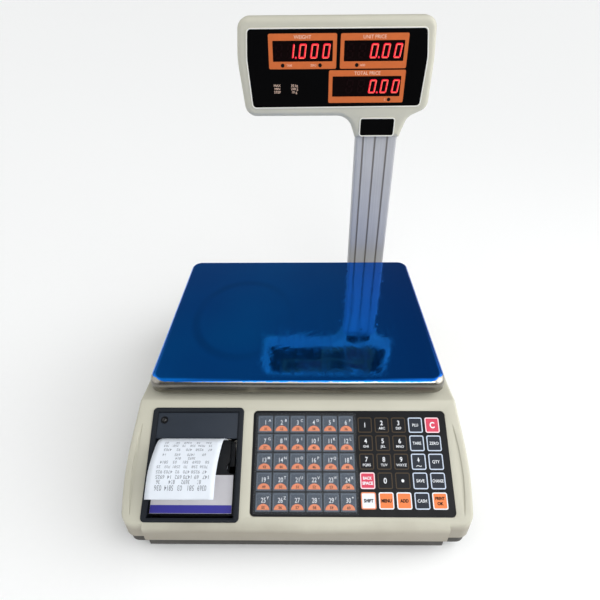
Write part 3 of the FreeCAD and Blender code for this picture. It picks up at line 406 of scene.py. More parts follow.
@dataclass(frozen=True)
class BlueFilm(Stock):
    """Blue protective film lying on polished steel, slightly rippled, with trapped bubbles and scuffs, painted shade
    towards its right and a painted oval reflection.
    """

    shade: str = "127cec"
    # colour of the painted shade towards the film's right
    right_painted_shade: str = "105ac2"
    bare: str = "a39f97"
    trim_depth: float = 0.0017
    side_reach: float = 0.0010
    front_strip: Point2 = (0.006, 0.014)
    corner_strip: Point2 = (0.016, 0.006)
    fray: float = 0.0002
    # place, radii and line width of the painted oval reflection
    ring_middle: Point2 = (-0.060, 0.016)
    ring_radius: Point2 = (0.053, 0.067)
    ring_line: Point2 = (0.03, 0.12)

    def work(self, sheet: NodeSheet) -> None:
        """Works the surface.

        Args:
            sheet: The material's nodes.
        """
        broad = sheet.noise(0.16, detail=2.0)
        tone = sheet.mix(sheet.spread(broad, 0.35, 0.65), linear(self.shade), sheet.base)
        # painted shade: the film grows darker towards its right
        sideways = sheet.plus(sheet.axis("X"), sheet.times(broad, 0.06))
        tone = sheet.mix(sheet.spread(sideways, -0.02, 0.16, to_high=0.75), tone, linear(self.right_painted_shade))
        # painted reflection: a darker oval ring over the film
        tone = sheet.mix(self.ring(sheet, broad), tone, darker(linear(self.right_painted_shade), 0.55))
        sheet.colour(sheet.mix(self.trimmed(sheet), tone, linear(self.bare)))
        scuffs = sheet.noise(0.006, detail=5.0, roughness=0.7, place=sheet.place((1, 0.12, 1), (0, 0, 0.5)))
        sheet.rough(scuffs, 0.07, 0.17, 0.45, 0.75)
        ripple = sheet.noise(0.040, roughness=0.42, distortion=0.8)
        bubbles = sheet.spread(sheet.spots(0.021), 0.0, 0.09, to_low=1.0, to_high=0.0)
        sheet.bump(sheet.plus(sheet.times(ripple, 0.8), sheet.times(bubbles, 0.22)), 0.0008, 0.5)
        sheet.set(Metallic=0.96)

    def trimmed(self, sheet: NodeSheet) -> Socket:
        """Where the film has been cut or rubbed away: low on the rolled rim, and higher up at the front corners.

        Args:
            sheet: The film's nodes.

        Returns:
            How far the steel shows.
        """
        low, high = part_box("platter_film")
        front = [low.y + reach for reach in self.front_strip]
        corner = [high.x - reach for reach in self.corner_strip]
        frayed = sheet.spread(sheet.noise(0.006, roughness=0.6), 0.35, 0.65, -self.fray, self.fray)
        to_corner = sheet.spread(sheet.away(sheet.axis("X"), 0.0), *corner)
        to_front = sheet.spread(sheet.axis("Y"), *front, to_low=1.0, to_high=0.0)
        lift = sheet.times(sheet.times(to_corner, to_front), self.trim_depth * 0.9)
        level = sheet.step("SUBTRACT", sheet.plus(sheet.axis("Z"), frayed), lift)
        level = sheet.plus(level, sheet.spread(sheet.axis("Y"), *front, to_high=self.side_reach))
        edge, half_line = high.z - self.trim_depth, self.fray / 2
        return sheet.spread(level, edge - half_line, edge + half_line, to_low=1.0, to_high=0.0)

    def ring(self, sheet: NodeSheet, broad: Socket) -> Socket:
        """A faint painted reflection of an oval, darker than the film, clearest on its left side.

        Args:
            sheet: The film's nodes.
            broad: Broad noise that breaks the mark up.

        Returns:
            How strongly the mark shows.
        """
        spans = []
        for letter, middle, radius in zip("XY", self.ring_middle, self.ring_radius):
            shift = sheet.times(sheet.step("SUBTRACT", sheet.axis(letter), middle), 1.0 / radius)
            spans.append(sheet.times(shift, shift))
        off_line = sheet.away(sheet.step("POWER", sheet.plus(spans[0], spans[1]), 0.5), 1.0)
        mark = sheet.times(sheet.spread(off_line, *self.ring_line, to_low=0.42, to_high=0.0),
                           sheet.spread(broad, 0.3, 0.55))
        return sheet.times(mark, sheet.spread(sheet.axis("X"), -0.09, -0.01, to_low=1.0, to_high=0.1))


@dataclass(frozen=True)
class GlossSheet(Stock):
    """Polished dark acrylic or printed polyester: a clear coat over a deep colour."""

    roughness: float = 0.12
    orange_peel: float = 0.00002
    coat: float = 0.4
    shine: float = 0.5

    def work(self, sheet: NodeSheet) -> None:
        """Works the surface.

        Args:
            sheet: The material's nodes.
        """
        sheet.colour(sheet.clouded(sheet.noise(0.03, detail=4.0, roughness=0.6), 0.85))
        prints = sheet.noise(0.012, detail=5.0, roughness=0.7)
        sheet.rough(prints, self.roughness, self.roughness + 0.10, 0.35, 0.75)
        sheet.bump(sheet.noise(0.004, detail=2.0), self.orange_peel, 0.4)
        sheet.set(Coat_Weight=self.coat, Coat_Roughness=0.08, Specular_IOR_Level=self.shine)


@dataclass(frozen=True)
class Ink(Stock):
    """Screen-printed ink: an almost even colour with a faint screen texture."""

    roughness: float = 0.42
    variation: float = 0.93
    shine: float = 0.35

    def work(self, sheet: NodeSheet) -> None:
        """Works the surface.

        Args:
            sheet: The material's nodes.
        """
        clouds = sheet.noise(0.007, detail=4.0, roughness=0.6)
        sheet.colour(sheet.clouded(clouds, self.variation))
        sheet.rough(clouds, self.roughness - 0.05, self.roughness + 0.05)
        sheet.bump(sheet.noise(0.0004, detail=1.0), 0.00001, 0.4)
        sheet.set(Specular_IOR_Level=self.shine)


@dataclass(frozen=True)
class LitSegment(Stock):
    """A lit LED surface with slightly uneven brightness."""

    strength: float

    def work(self, sheet: NodeSheet) -> None:
        """Works the surface.

        Args:
            sheet: The material's nodes.
        """
        glow = sheet.clouded(sheet.noise(0.004, detail=2.0), 0.82)
        sheet.link(glow, sheet.shader.inputs["Emission Color"])
        sheet.set(Base_Color=darker(sheet.base, 0.3), Emission_Strength=self.strength, Roughness=0.4)


@dataclass(frozen=True)
class Rubber(Stock):
    """Matt black rubber with a dusty bloom."""

    dust: str = "4a4a48"

    def work(self, sheet: NodeSheet) -> None:
        """Works the surface.

        Args:
            sheet: The material's nodes.
        """
        bloom = sheet.noise(0.008, detail=6.0, roughness=0.7)
        sheet.colour(sheet.mix(sheet.spread(bloom, 0.45, 0.8), sheet.base, linear(self.dust)))
        sheet.rough(bloom, 0.7, 0.88)
        sheet.bump(sheet.noise(0.0009, roughness=0.6), 0.00008, 0.5)
        sheet.set(Specular_IOR_Level=0.3)


@dataclass(frozen=True)
class PaperStock(Stock):
    """Paper with soft fibres and a faint unevenness."""

    roughness: float = 0.75

    def work(self, sheet: NodeSheet) -> None:
        """Works the surface.

        Args:
            sheet: The material's nodes.
        """
        sheet.colour(sheet.clouded(sheet.noise(0.02, detail=5.0, roughness=0.6), 0.93))
        fibres = sheet.noise(0.0012, detail=4.0, roughness=0.7, place=sheet.place((1, 0.3, 0.3)))
        sheet.rough(fibres, self.roughness - 0.07, self.roughness + 0.07)
        sheet.bump(fibres, 0.00003, 0.6)


@dataclass(frozen=True)
class ClearFilm(Stock):
    """Thin clear plastic film, seen through, with soft scuffs."""

    alpha: float = 0.05
    roughness: float = 0.18

    def work(self, sheet: NodeSheet) -> None:
        """Works the surface.

        Args:
            sheet: The material's nodes.
        """
        scuffs = sheet.noise(0.006, detail=5.0, roughness=0.7, place=sheet.place((0.3, 1, 1)))
        sheet.colour(sheet.clouded(scuffs, 0.9))
        sheet.rough(scuffs, self.roughness, self.roughness + 0.2, 0.4, 0.7)
        sheet.bump(sheet.noise(0.02), 0.0003, 0.3)
        sheet.set(Alpha=self.alpha, IOR=1.45)


class Finish(Enum):
    """Every finish on the scale."""

    CREAM = MouldedPlastic("cream_plastic", "c6c4b5", 0.46, 0.0007, 0.00005, 0.95, shine=0.4)
    # the housing carries painted shade, darker towards its bottom
    HOUSING = MouldedPlastic("housing_plastic", "c4c2b2", 0.46, 0.0007, 0.00005, 0.95, shine=0.4, painted_shade="948b7d")
    # paler than the shell's cream, as a painted highlight on the window beads
    HIGHLIT_RIM = MouldedPlastic("highlit_rim_plastic", "e9e8df", 0.4, 0.0009, 0.00002, 0.97)
    TRAY = MouldedPlastic("tray_plastic", "3b3833", 0.55, 0.0008, 0.00006, 0.85, "66625a")
    SLATE = MouldedPlastic("slate_plastic", "2c333d", 0.50, 0.0005, 0.00006, 0.86, shine=0.2)
    BEZEL = MouldedPlastic("bezel_plastic", "1b2027", 0.48, 0.0005, 0.00006, 0.8, shine=0.2)
    LEVER = MouldedPlastic("lever_plastic", "0e1115", 0.48, 0.0005, 0.00005, 0.8, shine=0.15)
    GEAR = MouldedPlastic("gear_acetal", "e6e4dc", 0.4, 0.0009, 0.00002, 0.96)
    BATTERY = MouldedPlastic("battery_case", "34363a", 0.5, 0.001, 0.00006, 0.85, "6a6a68")
    SHEATH = MouldedPlastic("cable_sheath", "55565a", 0.55, 0.0012, 0.00004, 0.85)
    STEEL = BrushedMetal("stainless_steel", "c4c2bd", 0.24, (0.02, 1.0, 1.0))
    # a darker copy of the stainless steel for the platter, as painted shade for its skirt's darker reflection
    SHADED_SKIRT = BrushedMetal("shaded_platter_steel", "8c8981", 0.30, (0.02, 1.0, 1.0), 0.0007, 0.00002, 0.62)
    SCREW = BrushedMetal("zinc_screws", "b4b4b6", 0.34, (1.0, 1.0, 0.2), 0.0009)
    CAST = BrushedMetal("cast_aluminium", "a3a5a8", 0.42, (1.0, 1.0, 1.0), 0.0016, 0.00008)
    # the last entry gives the X places of the grooves that get painted shade
    POLE = BrushedMetal("anodised_pole", "bcbdc0", 0.42, (1.0, 1.0, 0.015), 0.0016, 0.00002, 0.88, 0.0, 0.2,
                        (0.0765, 0.0903, 0.1047))
    BRASS = BrushedMetal("brass", "c9a55a", 0.3, (1.0, 1.0, 1.0), 0.001)
    FILM = BlueFilm("blue_film", "0c8efc")
    OVERLAY = GlossSheet("keypad_overlay", "111216", 0.30, 0.00003, 0.0, 0.12)
    CIRCUIT = GlossSheet("membrane_circuit", "b8b69a", 0.3)
    LENS = GlossSheet("display_lens", "030304", 0.10, 0.00001, 0.0, 0.03)
    WINDOW = GlossSheet("display_window", "0c0304", 0.14, 0.00001, 0.0, 0.03)
    BUTTON = GlossSheet("black_button", "0a0a0c", 0.16, 0.00002, 0.1, 0.2)
    DOME = GlossSheet("button_dome", "101012", 0.06, 0.00001, 0.3, 0.6)
    ROCKER = GlossSheet("red_rocker", "b3261c", 0.22)
    BOARD = GlossSheet("circuit_board", "1d6a35", 0.3)
    CERAMIC = GlossSheet("heater_ceramic", "e2e0d8", 0.2)
    RUBBER = Rubber("black_rubber", "1c1c1c")
    PAPER = PaperStock("thermal_paper", "e2e9f2")
    CARD = PaperStock("coated_card", "c6c5ca", 0.5)
    VIAL = GlossSheet("level_vial", "b7d24a", 0.05, 0.0, 1.0)
    POCKET = ClearFilm("pocket_film", "8f969e")
    CELL_INK = Ink("cell_ink", "4c5663", 0.38, 0.93, 0.15)
    CELL_EDGE = Ink("cell_edge_ink", "77808b", 0.36, 0.93, 0.2)
    CORAL_INK = Ink("coral_ink", "ec8e62", 0.42)
    WHITE_INK = Ink("white_ink", "eef2f8", 0.42)
    TITLE_INK = Ink("title_ink", "efcdb8", 0.42)
    PALE_INK = Ink("pale_border_ink", "c9d6ea", 0.4)
    PINK_INK = Ink("pink_border_ink", "ffdfe6", 0.4)
    BROWN_INK = Ink("brown_border_ink", "463b2e", 0.4, 0.93, 0.12)
    KEY_BLACK = Ink("key_black_ink", "15161a", 0.36, 0.93, 0.12)
    KEY_SLATE = Ink("key_slate_ink", "252b36", 0.38, 0.93, 0.15)
    RED_INK = Ink("red_ink", "d83a59", 0.4)
    ORANGE_INK = Ink("orange_ink", "ee7f3e", 0.4)
    FRAME_INK = Ink("frame_ink", "d06c38", 0.35, 0.93, 0.15)
    BLACK_INK = Ink("black_ink", "0b0b0c", 0.4, 0.93, 0.1)
    BLUE_INK = Ink("blue_band_ink", "2e2a94", 0.35)
    GREY_PRINT = Ink("thermal_print", "7c828d", 0.6, 0.8)
    SEGMENT_RED = LitSegment("segment_red", "f80f34", 1.0)
    SEGMENT_CORE = LitSegment("segment_core", "ff6f58", 1.2)
    SEGMENT_DARK = Ink("segment_unlit", "120406", 0.3, 0.93, 0.04)

    def material(self) -> bpy.types.Material:
        """The finish's material, made on first use."""
        return bpy.data.materials.get(self.value.name) or self.value.build()


FINISH_NODES: dict[Finish, str] = {
    Finish.TRAY: "base_tray level_holder",
    Finish.HOUSING: "upper_housing",
    Finish.SCREW: "housing_screws load_cell_base_bolts load_cell_platform_bolts overload_screws door_hinge_pin "
                  "platen_shaft paper_motor battery_bracket display_screws",
    Finish.CAST: "load_cell platform_spider",
    Finish.RUBBER: "platform_pads platen_roller",
    Finish.SHADED_SKIRT: "platter",
    Finish.FILM: "platter_film",
    Finish.STEEL: "platter_locators",
    Finish.VIAL: "level_vial",
    Finish.CIRCUIT: "keypad_circuit",
    Finish.OVERLAY: "keypad_overlay",
    Finish.POCKET: "film_pocket",
    Finish.BEZEL: "printer_bezel",
    Finish.SLATE: "head_cover",
    Finish.BUTTON: "feed_button power_inlet switch_housing led_modules",
    Finish.CERAMIC: "print_head",
    Finish.LEVER: "printer_door door_lever printer_chassis",
    Finish.CARD: "door_card",
    Finish.GEAR: "platen_gear idler_gear",
    Finish.BRASS: "motor_pinion",
    Finish.PAPER: "paper_roll receipt_strip",
    Finish.BOARD: "main_board power_board display_board",
    Finish.BATTERY: "battery",
    Finish.ROCKER: "power_rocker",
    Finish.POLE: "pole_extrusion",
    Finish.CREAM: "pole_socket head_front_shell head_rear_shell",
    Finish.SHEATH: "display_cable",
    Finish.LENS: "front_lens rear_lens neck_badge"}
NODE_FINISHES = {name: finish for finish, names in FINISH_NODES.items() for name in names.split()}
FOOT_FINISHES = {"foot_wheel_": Finish.TRAY, "foot_sole_": Finish.RUBBER}
OVERLAY_THICKNESS = 0.5 * MM
# where the crease of the deck lies on the printer's own scale, in millimetres
CREASE_DOWN = 10.4


# ---------------------------------------------------------------- shape tools
@dataclass(frozen=True)
class Plane:
    """A working plane: its own x and y, with z standing out of it."""

    matrix: Matrix

    def at(self, x: float, y: float, z: float = 0.0) -> Matrix:
        """A placement at a point of the plane."""
        return self.matrix @ Matrix.Translation((x, y, z))


def deck_plane() -> Plane:
    """The deck's own frame, found from the keypad overlay and the feed button's travel.

    Returns:
        The plane with X to the right, Y up the slope from the overlay's lower edge, Z out of the deck.
    """
    press = next(joint for joint in frame["joints"] if joint["name"] == "feed_press")
    out = -Vector(press["axis"])
    _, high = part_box("keypad_overlay")
    slope = math.atan2(-out.y, out.z)
    origin = Vector((0.0, high.y - OVERLAY_THICKNESS * math.sin(slope), high.z))
    return Plane(Matrix.Translation(origin) @ Matrix.Rotation(slope, 4, "X"))


class Piece:
    """A mesh under construction, made of simple shapes set in place one by one."""

    def __init__(self, name: str, *finishes: Finish) -> None:
        """Starts an empty piece.

        Args:
            name: The piece's name.
            *finishes: Its material slots.
        """
        self.name = name
        self.finishes = finishes
        self.mesh = bpy.data.meshes.new(name)
        self.body = bmesh.new()

    def absorb(self, part: Shape, place: Matrix, slot: int = 0) -> None:
        """Moves a finished part into the piece.

        Args:
            part: The part, freed afterwards.
            place: Where it goes.
            slot: Its material slot for every face; with 0, the faces keep their own.
        """
        if slot:
            for face in part.faces:
                face.material_index = slot
        bmesh.ops.recalc_face_normals(part, faces=part.faces)
        part.transform(place)
        if place.determinant() < 0:
            bmesh.ops.reverse_faces(part, faces=part.faces)
        carrier = bpy.data.meshes.new("carrier")
        part.to_mesh(carrier)
        part.free()
        self.body.from_mesh(carrier)
        bpy.data.meshes.remove(carrier)

    def finish(self, ride_on: str, slot_name: str, smooth: bool = False) -> bpy.types.Object:
        """Writes the mesh and hands the piece to its body.

        Args:
            ride_on: The body that carries it.
            slot_name: The record's material slot; not used.
            smooth: Whether its faces shade smoothly.

        Returns:
            The finished object.
        """
        self.body.to_mesh(self.mesh)
        self.body.free()
        for face in self.mesh.polygons:
            face.use_smooth = smooth
        for finish in self.finishes:
            self.mesh.materials.append(finish.material())
        made = bpy.data.objects.new(self.name, self.mesh)
        bpy.context.scene.collection.objects.link(made)
        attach(made, ride_on)
        LOG.info("%-24s %6d faces, rides on %s", self.name, len(self.mesh.polygons), ride_on)
        return made


def rectangle(width: float, height: float, radius: float, segments: int = 4) -> Shape:
    """A flat rectangle with rounded corners, centred on the plane's origin.

    Args:
        width: Size along x.
        height: Size along y.
        radius: Corner radius; with one segment, the length of a straight corner cut.
        segments: Steps round each corner.

    Returns:
        The flat mesh.
    """
    part = bmesh.new()
    bmesh.ops.create_grid(part, x_segments=1, y_segments=1, size=0.5)
    bmesh.ops.scale(part, vec=(width, height, 1.0), verts=part.verts)
    if radius > 0:
        bmesh.ops.bevel(part, geom=part.verts[:], offset=radius, offset_type="OFFSET", affect="VERTICES",
                        segments=segments, profile=0.5, material=-1)
    return part


def new_points(made: dict[str, list]) -> list[bmesh.types.BMVert]:
    """The points among what an extrusion made.

    Args:
        made: What the extrusion returned.

    Returns:
        Its points.
    """
    return [item for item in made["geom"] if isinstance(item, bmesh.types.BMVert)]


def thicken(part: Shape, low: float, high: float) -> Shape:
    """Raises a flat outline into a closed slab.

    Args:
        part: The outline, changed in place.
        low: Underside.
        high: Top side.

    Returns:
        The same mesh.
    """
    bmesh.ops.translate(part, vec=(0, 0, low), verts=part.verts)
    lifted = new_points(bmesh.ops.extrude_face_region(part, geom=part.faces[:], use_keep_orig=True))
    bmesh.ops.translate(part, vec=(0, 0, high - low), verts=lifted)
    return part


def plate(width: float, height: float, radius: float, low: float, high: float, segments: int = 4) -> Shape:
    """A flat plate with rounded corners, centred on the plane's origin.

    Args:
        width: Size along x.
        height: Size along y.
        radius: Corner radius.
        low: Underside.
        high: Top side.
        segments: Steps round each corner.

    Returns:
        The plate's mesh.
    """
    return thicken(rectangle(width, height, radius, segments), low, high)


def border(width: float, height: float, radius: float, line: float, low: float, high: float) -> Shape:
    """A rounded rectangular frame.

    Args:
        width: Outer size along x.
        height: Outer size along y.
        radius: Outer corner radius.
        line: Width of the line.
        low: Underside.
        high: Top side.

    Returns:
        The frame's mesh.
    """
    part = rectangle(width, height, radius)
    bmesh.ops.inset_region(part, faces=part.faces[:], thickness=line, use_boundary=True, use_even_offset=True)
    middle = max(part.faces, key=lambda face: face.calc_area())
    bmesh.ops.delete(part, geom=[middle], context="FACES_ONLY")
    return thicken(part, low, high)


def disc(radius: float, low: float, high: float) -> Shape:
    """A round plate.

    Args:
        radius: Its radius.
        low: Underside.
        high: Top side.

    Returns:
        The plate's mesh.
    """
    part = bmesh.new()
    bmesh.ops.create_circle(part, cap_ends=True, segments=20, radius=radius)
    return thicken(part, low, high)


def half_disc(width: float, height: float, low: float, high: float) -> Shape:
    """A plate in the shape of a low arch standing on its straight side.

    Args:
        width: Size along the straight side.
        height: Rise of the arch.
        low: Underside.
        high: Top side.

    Returns:
        The plate's mesh.
    """
    part = bmesh.new()
    bmesh.ops.create_circle(part, cap_ends=True, segments=28, radius=1.0)
    bmesh.ops.bisect_plane(part, geom=part.verts[:] + part.edges[:] + part.faces[:], plane_co=(0, 0, 0),
                           plane_no=(0, 1, 0), clear_inner=True)
    bmesh.ops.scale(part, vec=(width / 2, height, 1.0), verts=part.verts)
    return thicken(part, low, high)


class Lettering:
    """Turns words into thin raised lettering."""

    def __init__(self) -> None:
        """Measures the face's capital height once."""
        self.curve = bpy.data.curves.new("words", "FONT")
        self.curve.align_x = "CENTER"
        self.curve.resolution_u = 3
        self.holder = bpy.data.objects.new("words", self.curve)
        probe = self.outline("H", 0.0, 0.0)
        heights = [vertex.co.y for vertex in probe.vertices]
        self.capital = max(heights) - min(heights)
        bpy.data.meshes.remove(probe)

    def close(self) -> None:
        """Removes the text curve once every word is written."""
        bpy.data.objects.remove(self.holder)
        bpy.data.curves.remove(self.curve)

    def outline(self, words: str, weight: float, depth: float) -> bpy.types.Mesh:
        """The words as a mesh, one unit to the type size.

        Args:
            words: What is written.
            weight: Extra stroke weight.
            depth: Thickness, in the same units.

        Returns:
            A new mesh with its baseline at y = 0, centred on x = 0.
        """
        self.curve.body = words
        self.curve.offset = weight
        self.curve.extrude = depth / 2
        return bpy.data.meshes.new_from_object(self.holder)

    def write(self, words: str, height: float, low: float, high: float, weight: float,
              widest: float, narrow: float = 1.0) -> Shape:
        """Lettering centred on the plane's origin.

        Args:
            words: What is written.
            height: Height of the capitals.
            low: Underside.
            high: Top side.
            weight: Extra stroke weight.
            widest: Greatest width; wider words are squeezed.
            narrow: Width factor of the letters.

        Returns:
            The lettering's mesh.
        """
        scale = height / self.capital
        mesh = self.outline(words, weight, (high - low) / scale)
        part = bmesh.new()
        part.from_mesh(mesh)
        bpy.data.meshes.remove(mesh)
        bmesh.ops.remove_doubles(part, verts=part.verts, dist=1e-5)
        across = [vertex.co.x for vertex in part.verts]
        width = (max(across) - min(across)) * scale * narrow
        squeeze = narrow * min(1.0, widest / max(width, 1e-6))
        middle = (max(across) + min(across)) / 2
        bmesh.ops.translate(part, vec=(-middle, -self.capital / 2, 0), verts=part.verts)
        bmesh.ops.scale(part, vec=(scale * squeeze, scale, scale), verts=part.verts)
        bmesh.ops.translate(part, vec=(0, 0, (low + high) / 2), verts=part.verts)
        return part


# ---------------------------------------------------------------- the carried-over frame
@dataclass
class FrameDresser:
    """Gives every visible CAD node its finish, soft edges and smooth shading."""

    weld: float = 0.00001
    edge_round: float = 0.00035
    edge_angle: float = math.radians(32)
    rounded: tuple[str, ...] = (
        "upper_housing", "base_tray", "printer_bezel", "head_cover", "printer_door", "door_lever", "pole_socket",
        "head_front_shell", "head_rear_shell", "switch_housing", "power_rocker", "platter")

    def finish_of(self, name: str) -> Finish:
        """The finish of a CAD node.

        Args:
            name: The node's name.

        Returns:
            Its finish.
        """
        for prefix, finish in FOOT_FINISHES.items():
            if name.startswith(prefix):
                return finish
        return NODE_FINISHES[name]

    def dress(self) -> None:
        """Dresses all nodes."""
        for name, node in frame["nodes"].items():
            finish = self.finish_of(name)
            node.data.materials.clear()
            node.data.materials.append(finish.material())
            node.data.polygons.foreach_set("use_smooth", [True] * len(node.data.polygons))
            self.soften(node, name in self.rounded)
            LOG.info("%-24s dressed in %s", name, finish.value.name)

    def soften(self, node: bpy.types.Object, round_edges: bool) -> None:
        """Adds the modifiers that join the facets and soften the edges.

        Args:
            node: The CAD node's object.
            round_edges: Whether its sharp edges get a small round.
        """
        node.modifiers.new("join_facets", "WELD").merge_threshold = self.weld
        if round_edges:
            bevel = node.modifiers.new("edge_round", "BEVEL")
            bevel.width = self.edge_round
            bevel.segments = 2
            bevel.limit_method = "ANGLE"
            bevel.angle_limit = self.edge_angle
            bevel.use_clamp_overlap = True
        split = node.modifiers.new("crease", "EDGE_SPLIT")
        split.split_angle = self.edge_angle


# ---------------------------------------------------------------- keypad
class KeyStyle(Enum):
    """How a key of the right-hand block is printed: fill, border and lettering."""

    DIGIT = (Finish.KEY_BLACK, Finish.BROWN_INK, Finish.WHITE_INK)
    FUNCTION = (Finish.KEY_SLATE, Finish.PALE_INK, Finish.WHITE_INK)
    RED = (Finish.RED_INK, Finish.PINK_INK, Finish.WHITE_INK)
    ORANGE = (Finish.ORANGE_INK, Finish.WHITE_INK, Finish.BLACK_INK)
    WHITE = (Finish.WHITE_INK, Finish.CORAL_INK, Finish.BLACK_INK)


@dataclass(frozen=True)
class Key:
    """One key: its big mark, the small line under it, and its style."""

    mark: str
    under: str = ""
    style: KeyStyle = KeyStyle.FUNCTION
    height: float = 2.5


def digit(mark: str, under: str = "", height: float = 4.0) -> Key:
    """A number key."""
    return Key(mark, under, KeyStyle.DIGIT, height)


KEY_ROWS: tuple[tuple[Key, ...], ...] = (
    (digit("1", height=4.2), digit("2", "ABC"), digit("3", "DEF"), Key("PLU"), Key("C", "", KeyStyle.RED, 5.2)),
    (digit("4", "GHI"), digit("5", "JKL"), digit("6", "MNO"), Key("TARE"), Key("ZERO")),
    (digit("7", "PQRS"), digit("8", "TUV"), digit("9", "WXYZ"), Key(""), Key("QTY")),
    (Key("BACK", "SPACE", KeyStyle.RED, 2.3), digit("0", height=4.6), digit("."), Key("SAVE"), Key("CHANGE")),
    (Key("SHIFT", "", KeyStyle.WHITE), Key("MENU", "", KeyStyle.ORANGE), Key("ADD", "", KeyStyle.ORANGE),
     Key("CASH"), Key("PRINT", "OK", KeyStyle.ORANGE, 2.3)))


@dataclass(frozen=True)
class Mark:
    """How a mark is set: capital height, its place right of and below the key's middle, stroke weight and width."""

    height: float
    right: float
    down: float
    weight: float
    widest: float
    narrow: float = 1.0


@dataclass
class Keypad:
    """The printed keypad overlay: direct keys on the left, numbers and functions on the right. Millimetres."""

    plane: Plane
    letters: Lettering
    grid_margin: float = 4.0
    grid_top: float = 3.9
    columns: int = 6
    rows: int = 5
    cell_pitch: Point2 = (15.1, 16.8)
    cell_size: Point2 = (13.9, 15.5)
    key_size: Point2 = (13.2, 13.9)
    key_pitch: float = 15.75
    key_left: float = 98.2
    key_tops: tuple[float, ...] = (6.0, 22.3, 38.4, 54.6, 71.1)
    key_line: float = 0.95
    key_radius: float = 1.7
    layers: dict[str, Point2] = field(default_factory=lambda: {
        "fill": (-0.02, 0.06), "border": (-0.02, 0.09), "arch": (0.0, 0.09), "letters": (0.0, 0.12)})
    cell_inset: Point2 = (1.6, 1.8)
    cell_radius: float = 1.4
    cell_line: float = 0.28
    arch_share: float = 0.80
    arch_rise: float = 4.9
    arch_lift: float = 1.5
    signs: str = "ABCDEFGHIJKLMNOPQRSTUVWXYZ.-/*"
    number_mark: Mark = Mark(3.9, 0.0, -1.6, 0.004, 6.6, 0.8)
    sign_mark: Mark = Mark(2.3, 3.9, -3.4, 0.01, 2.4)
    lower_mark: Mark = Mark(2.1, 0.0, 4.35, 0.02, 3.4)
    fill_inset: float = 0.6
    plain_weight: float = 0.012
    bold_weight: float = 0.045
    red_weight: float = 0.03
    pocket_size: Point2 = (94.8, 87.4)
    pocket_corner: Point2 = (2.4, 1.9)

    def spot(self, right: float, down: float) -> Matrix:
        """A place on the overlay, from its upper left corner, in millimetres."""
        low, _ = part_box("keypad_overlay")
        return self.plane.at(low.x + right * MM, -down * MM) @ Matrix.Scale(MM, 4)

    def print_words(self, target: Piece, words: str, mark: Mark, right: float, down: float) -> None:
        """Prints words on a key.

        Args:
            target: The piece that takes them.
            words: What is printed.
            mark: How they are set.
            right: The key's middle from the overlay's left edge.
            down: The key's middle from the overlay's upper edge.
        """
        lettering = self.letters.write(words, mark.height, *self.layers["letters"], mark.weight, mark.widest,
                                       mark.narrow)
        target.absorb(lettering, self.spot(right + mark.right, down + mark.down))

    def cell_middle(self, column: int, row: int) -> Point2:
        """The middle of a direct key's cell."""
        right = self.grid_margin + self.cell_pitch[0] * (column + 0.5)
        return right, self.grid_top + self.cell_pitch[1] * (row + 0.5)

    def build_cells(self) -> None:
        """Direct keys: slate cells, coral arches, numbers and letters."""
        cells = Piece("direct_key_cells", Finish.CELL_INK, Finish.CELL_EDGE)
        arches = Piece("direct_key_arches", Finish.CORAL_INK)
        marks = Piece("direct_key_marks", Finish.WHITE_INK)
        lower_marks = Piece("direct_key_lower_marks", Finish.BLACK_INK)
        width, height = self.cell_size
        for row in range(self.rows):
            for column in range(self.columns):
                number = row * self.columns + column + 1
                right, down = self.cell_middle(column, row)
                cells.absorb(plate(width, height, 0.5, *self.layers["fill"], segments=2), self.spot(right, down))
                cells.absorb(border(width - self.cell_inset[0], height - self.cell_inset[1], self.cell_radius,
                                    self.cell_line, *self.layers["border"]), self.spot(right, down), 1)
                arches.absorb(half_disc(width * self.arch_share, self.arch_rise, *self.layers["arch"]),
                              self.spot(right, down + height / 2 - self.arch_lift))
                self.print_words(marks, str(number), self.number_mark, right, down)
                self.print_words(marks, self.signs[number - 1], self.sign_mark, right, down)
                self.print_words(lower_marks, str(number + self.rows * self.columns), self.lower_mark, right, down)
        for piece in (cells, arches, marks, lower_marks):
            piece.finish("casing", "keypad_black")

    def key_middle(self, column: int, row: int) -> Point2:
        """The middle of a key in the right-hand block."""
        right = self.key_left + self.key_pitch * column + self.key_size[0] / 2
        return right, self.key_tops[row] + self.key_size[1] / 2

    def build_keys(self) -> None:
        """Number and function keys of the right-hand block."""
        fills: dict[Finish, Piece] = {}

        def piece_for(finish: Finish) -> Piece:
            """The piece that gathers everything printed in one ink.

            Args:
                finish: The ink.

            Returns:
                Its piece, made on first use.
            """
            if finish not in fills:
                fills[finish] = Piece("keys_" + finish.value.name, finish)
            return fills[finish]

        width, height = self.key_size
        for row, keys in enumerate(KEY_ROWS):
            for column, key in enumerate(keys):
                right, down = self.key_middle(column, row)
                fill, edge, ink = key.style.value
                inner = plate(width - self.fill_inset, height - self.fill_inset, self.key_radius - 0.4,
                              *self.layers["fill"])
                outer = border(width, height, self.key_radius, self.key_line, *self.layers["border"])
                piece_for(fill).absorb(inner, self.spot(right, down))
                piece_for(edge).absorb(outer, self.spot(right, down))
                self.mark_key(piece_for(ink), key, right, down)
        for piece in fills.values():
            piece.finish("casing", "keypad_black")

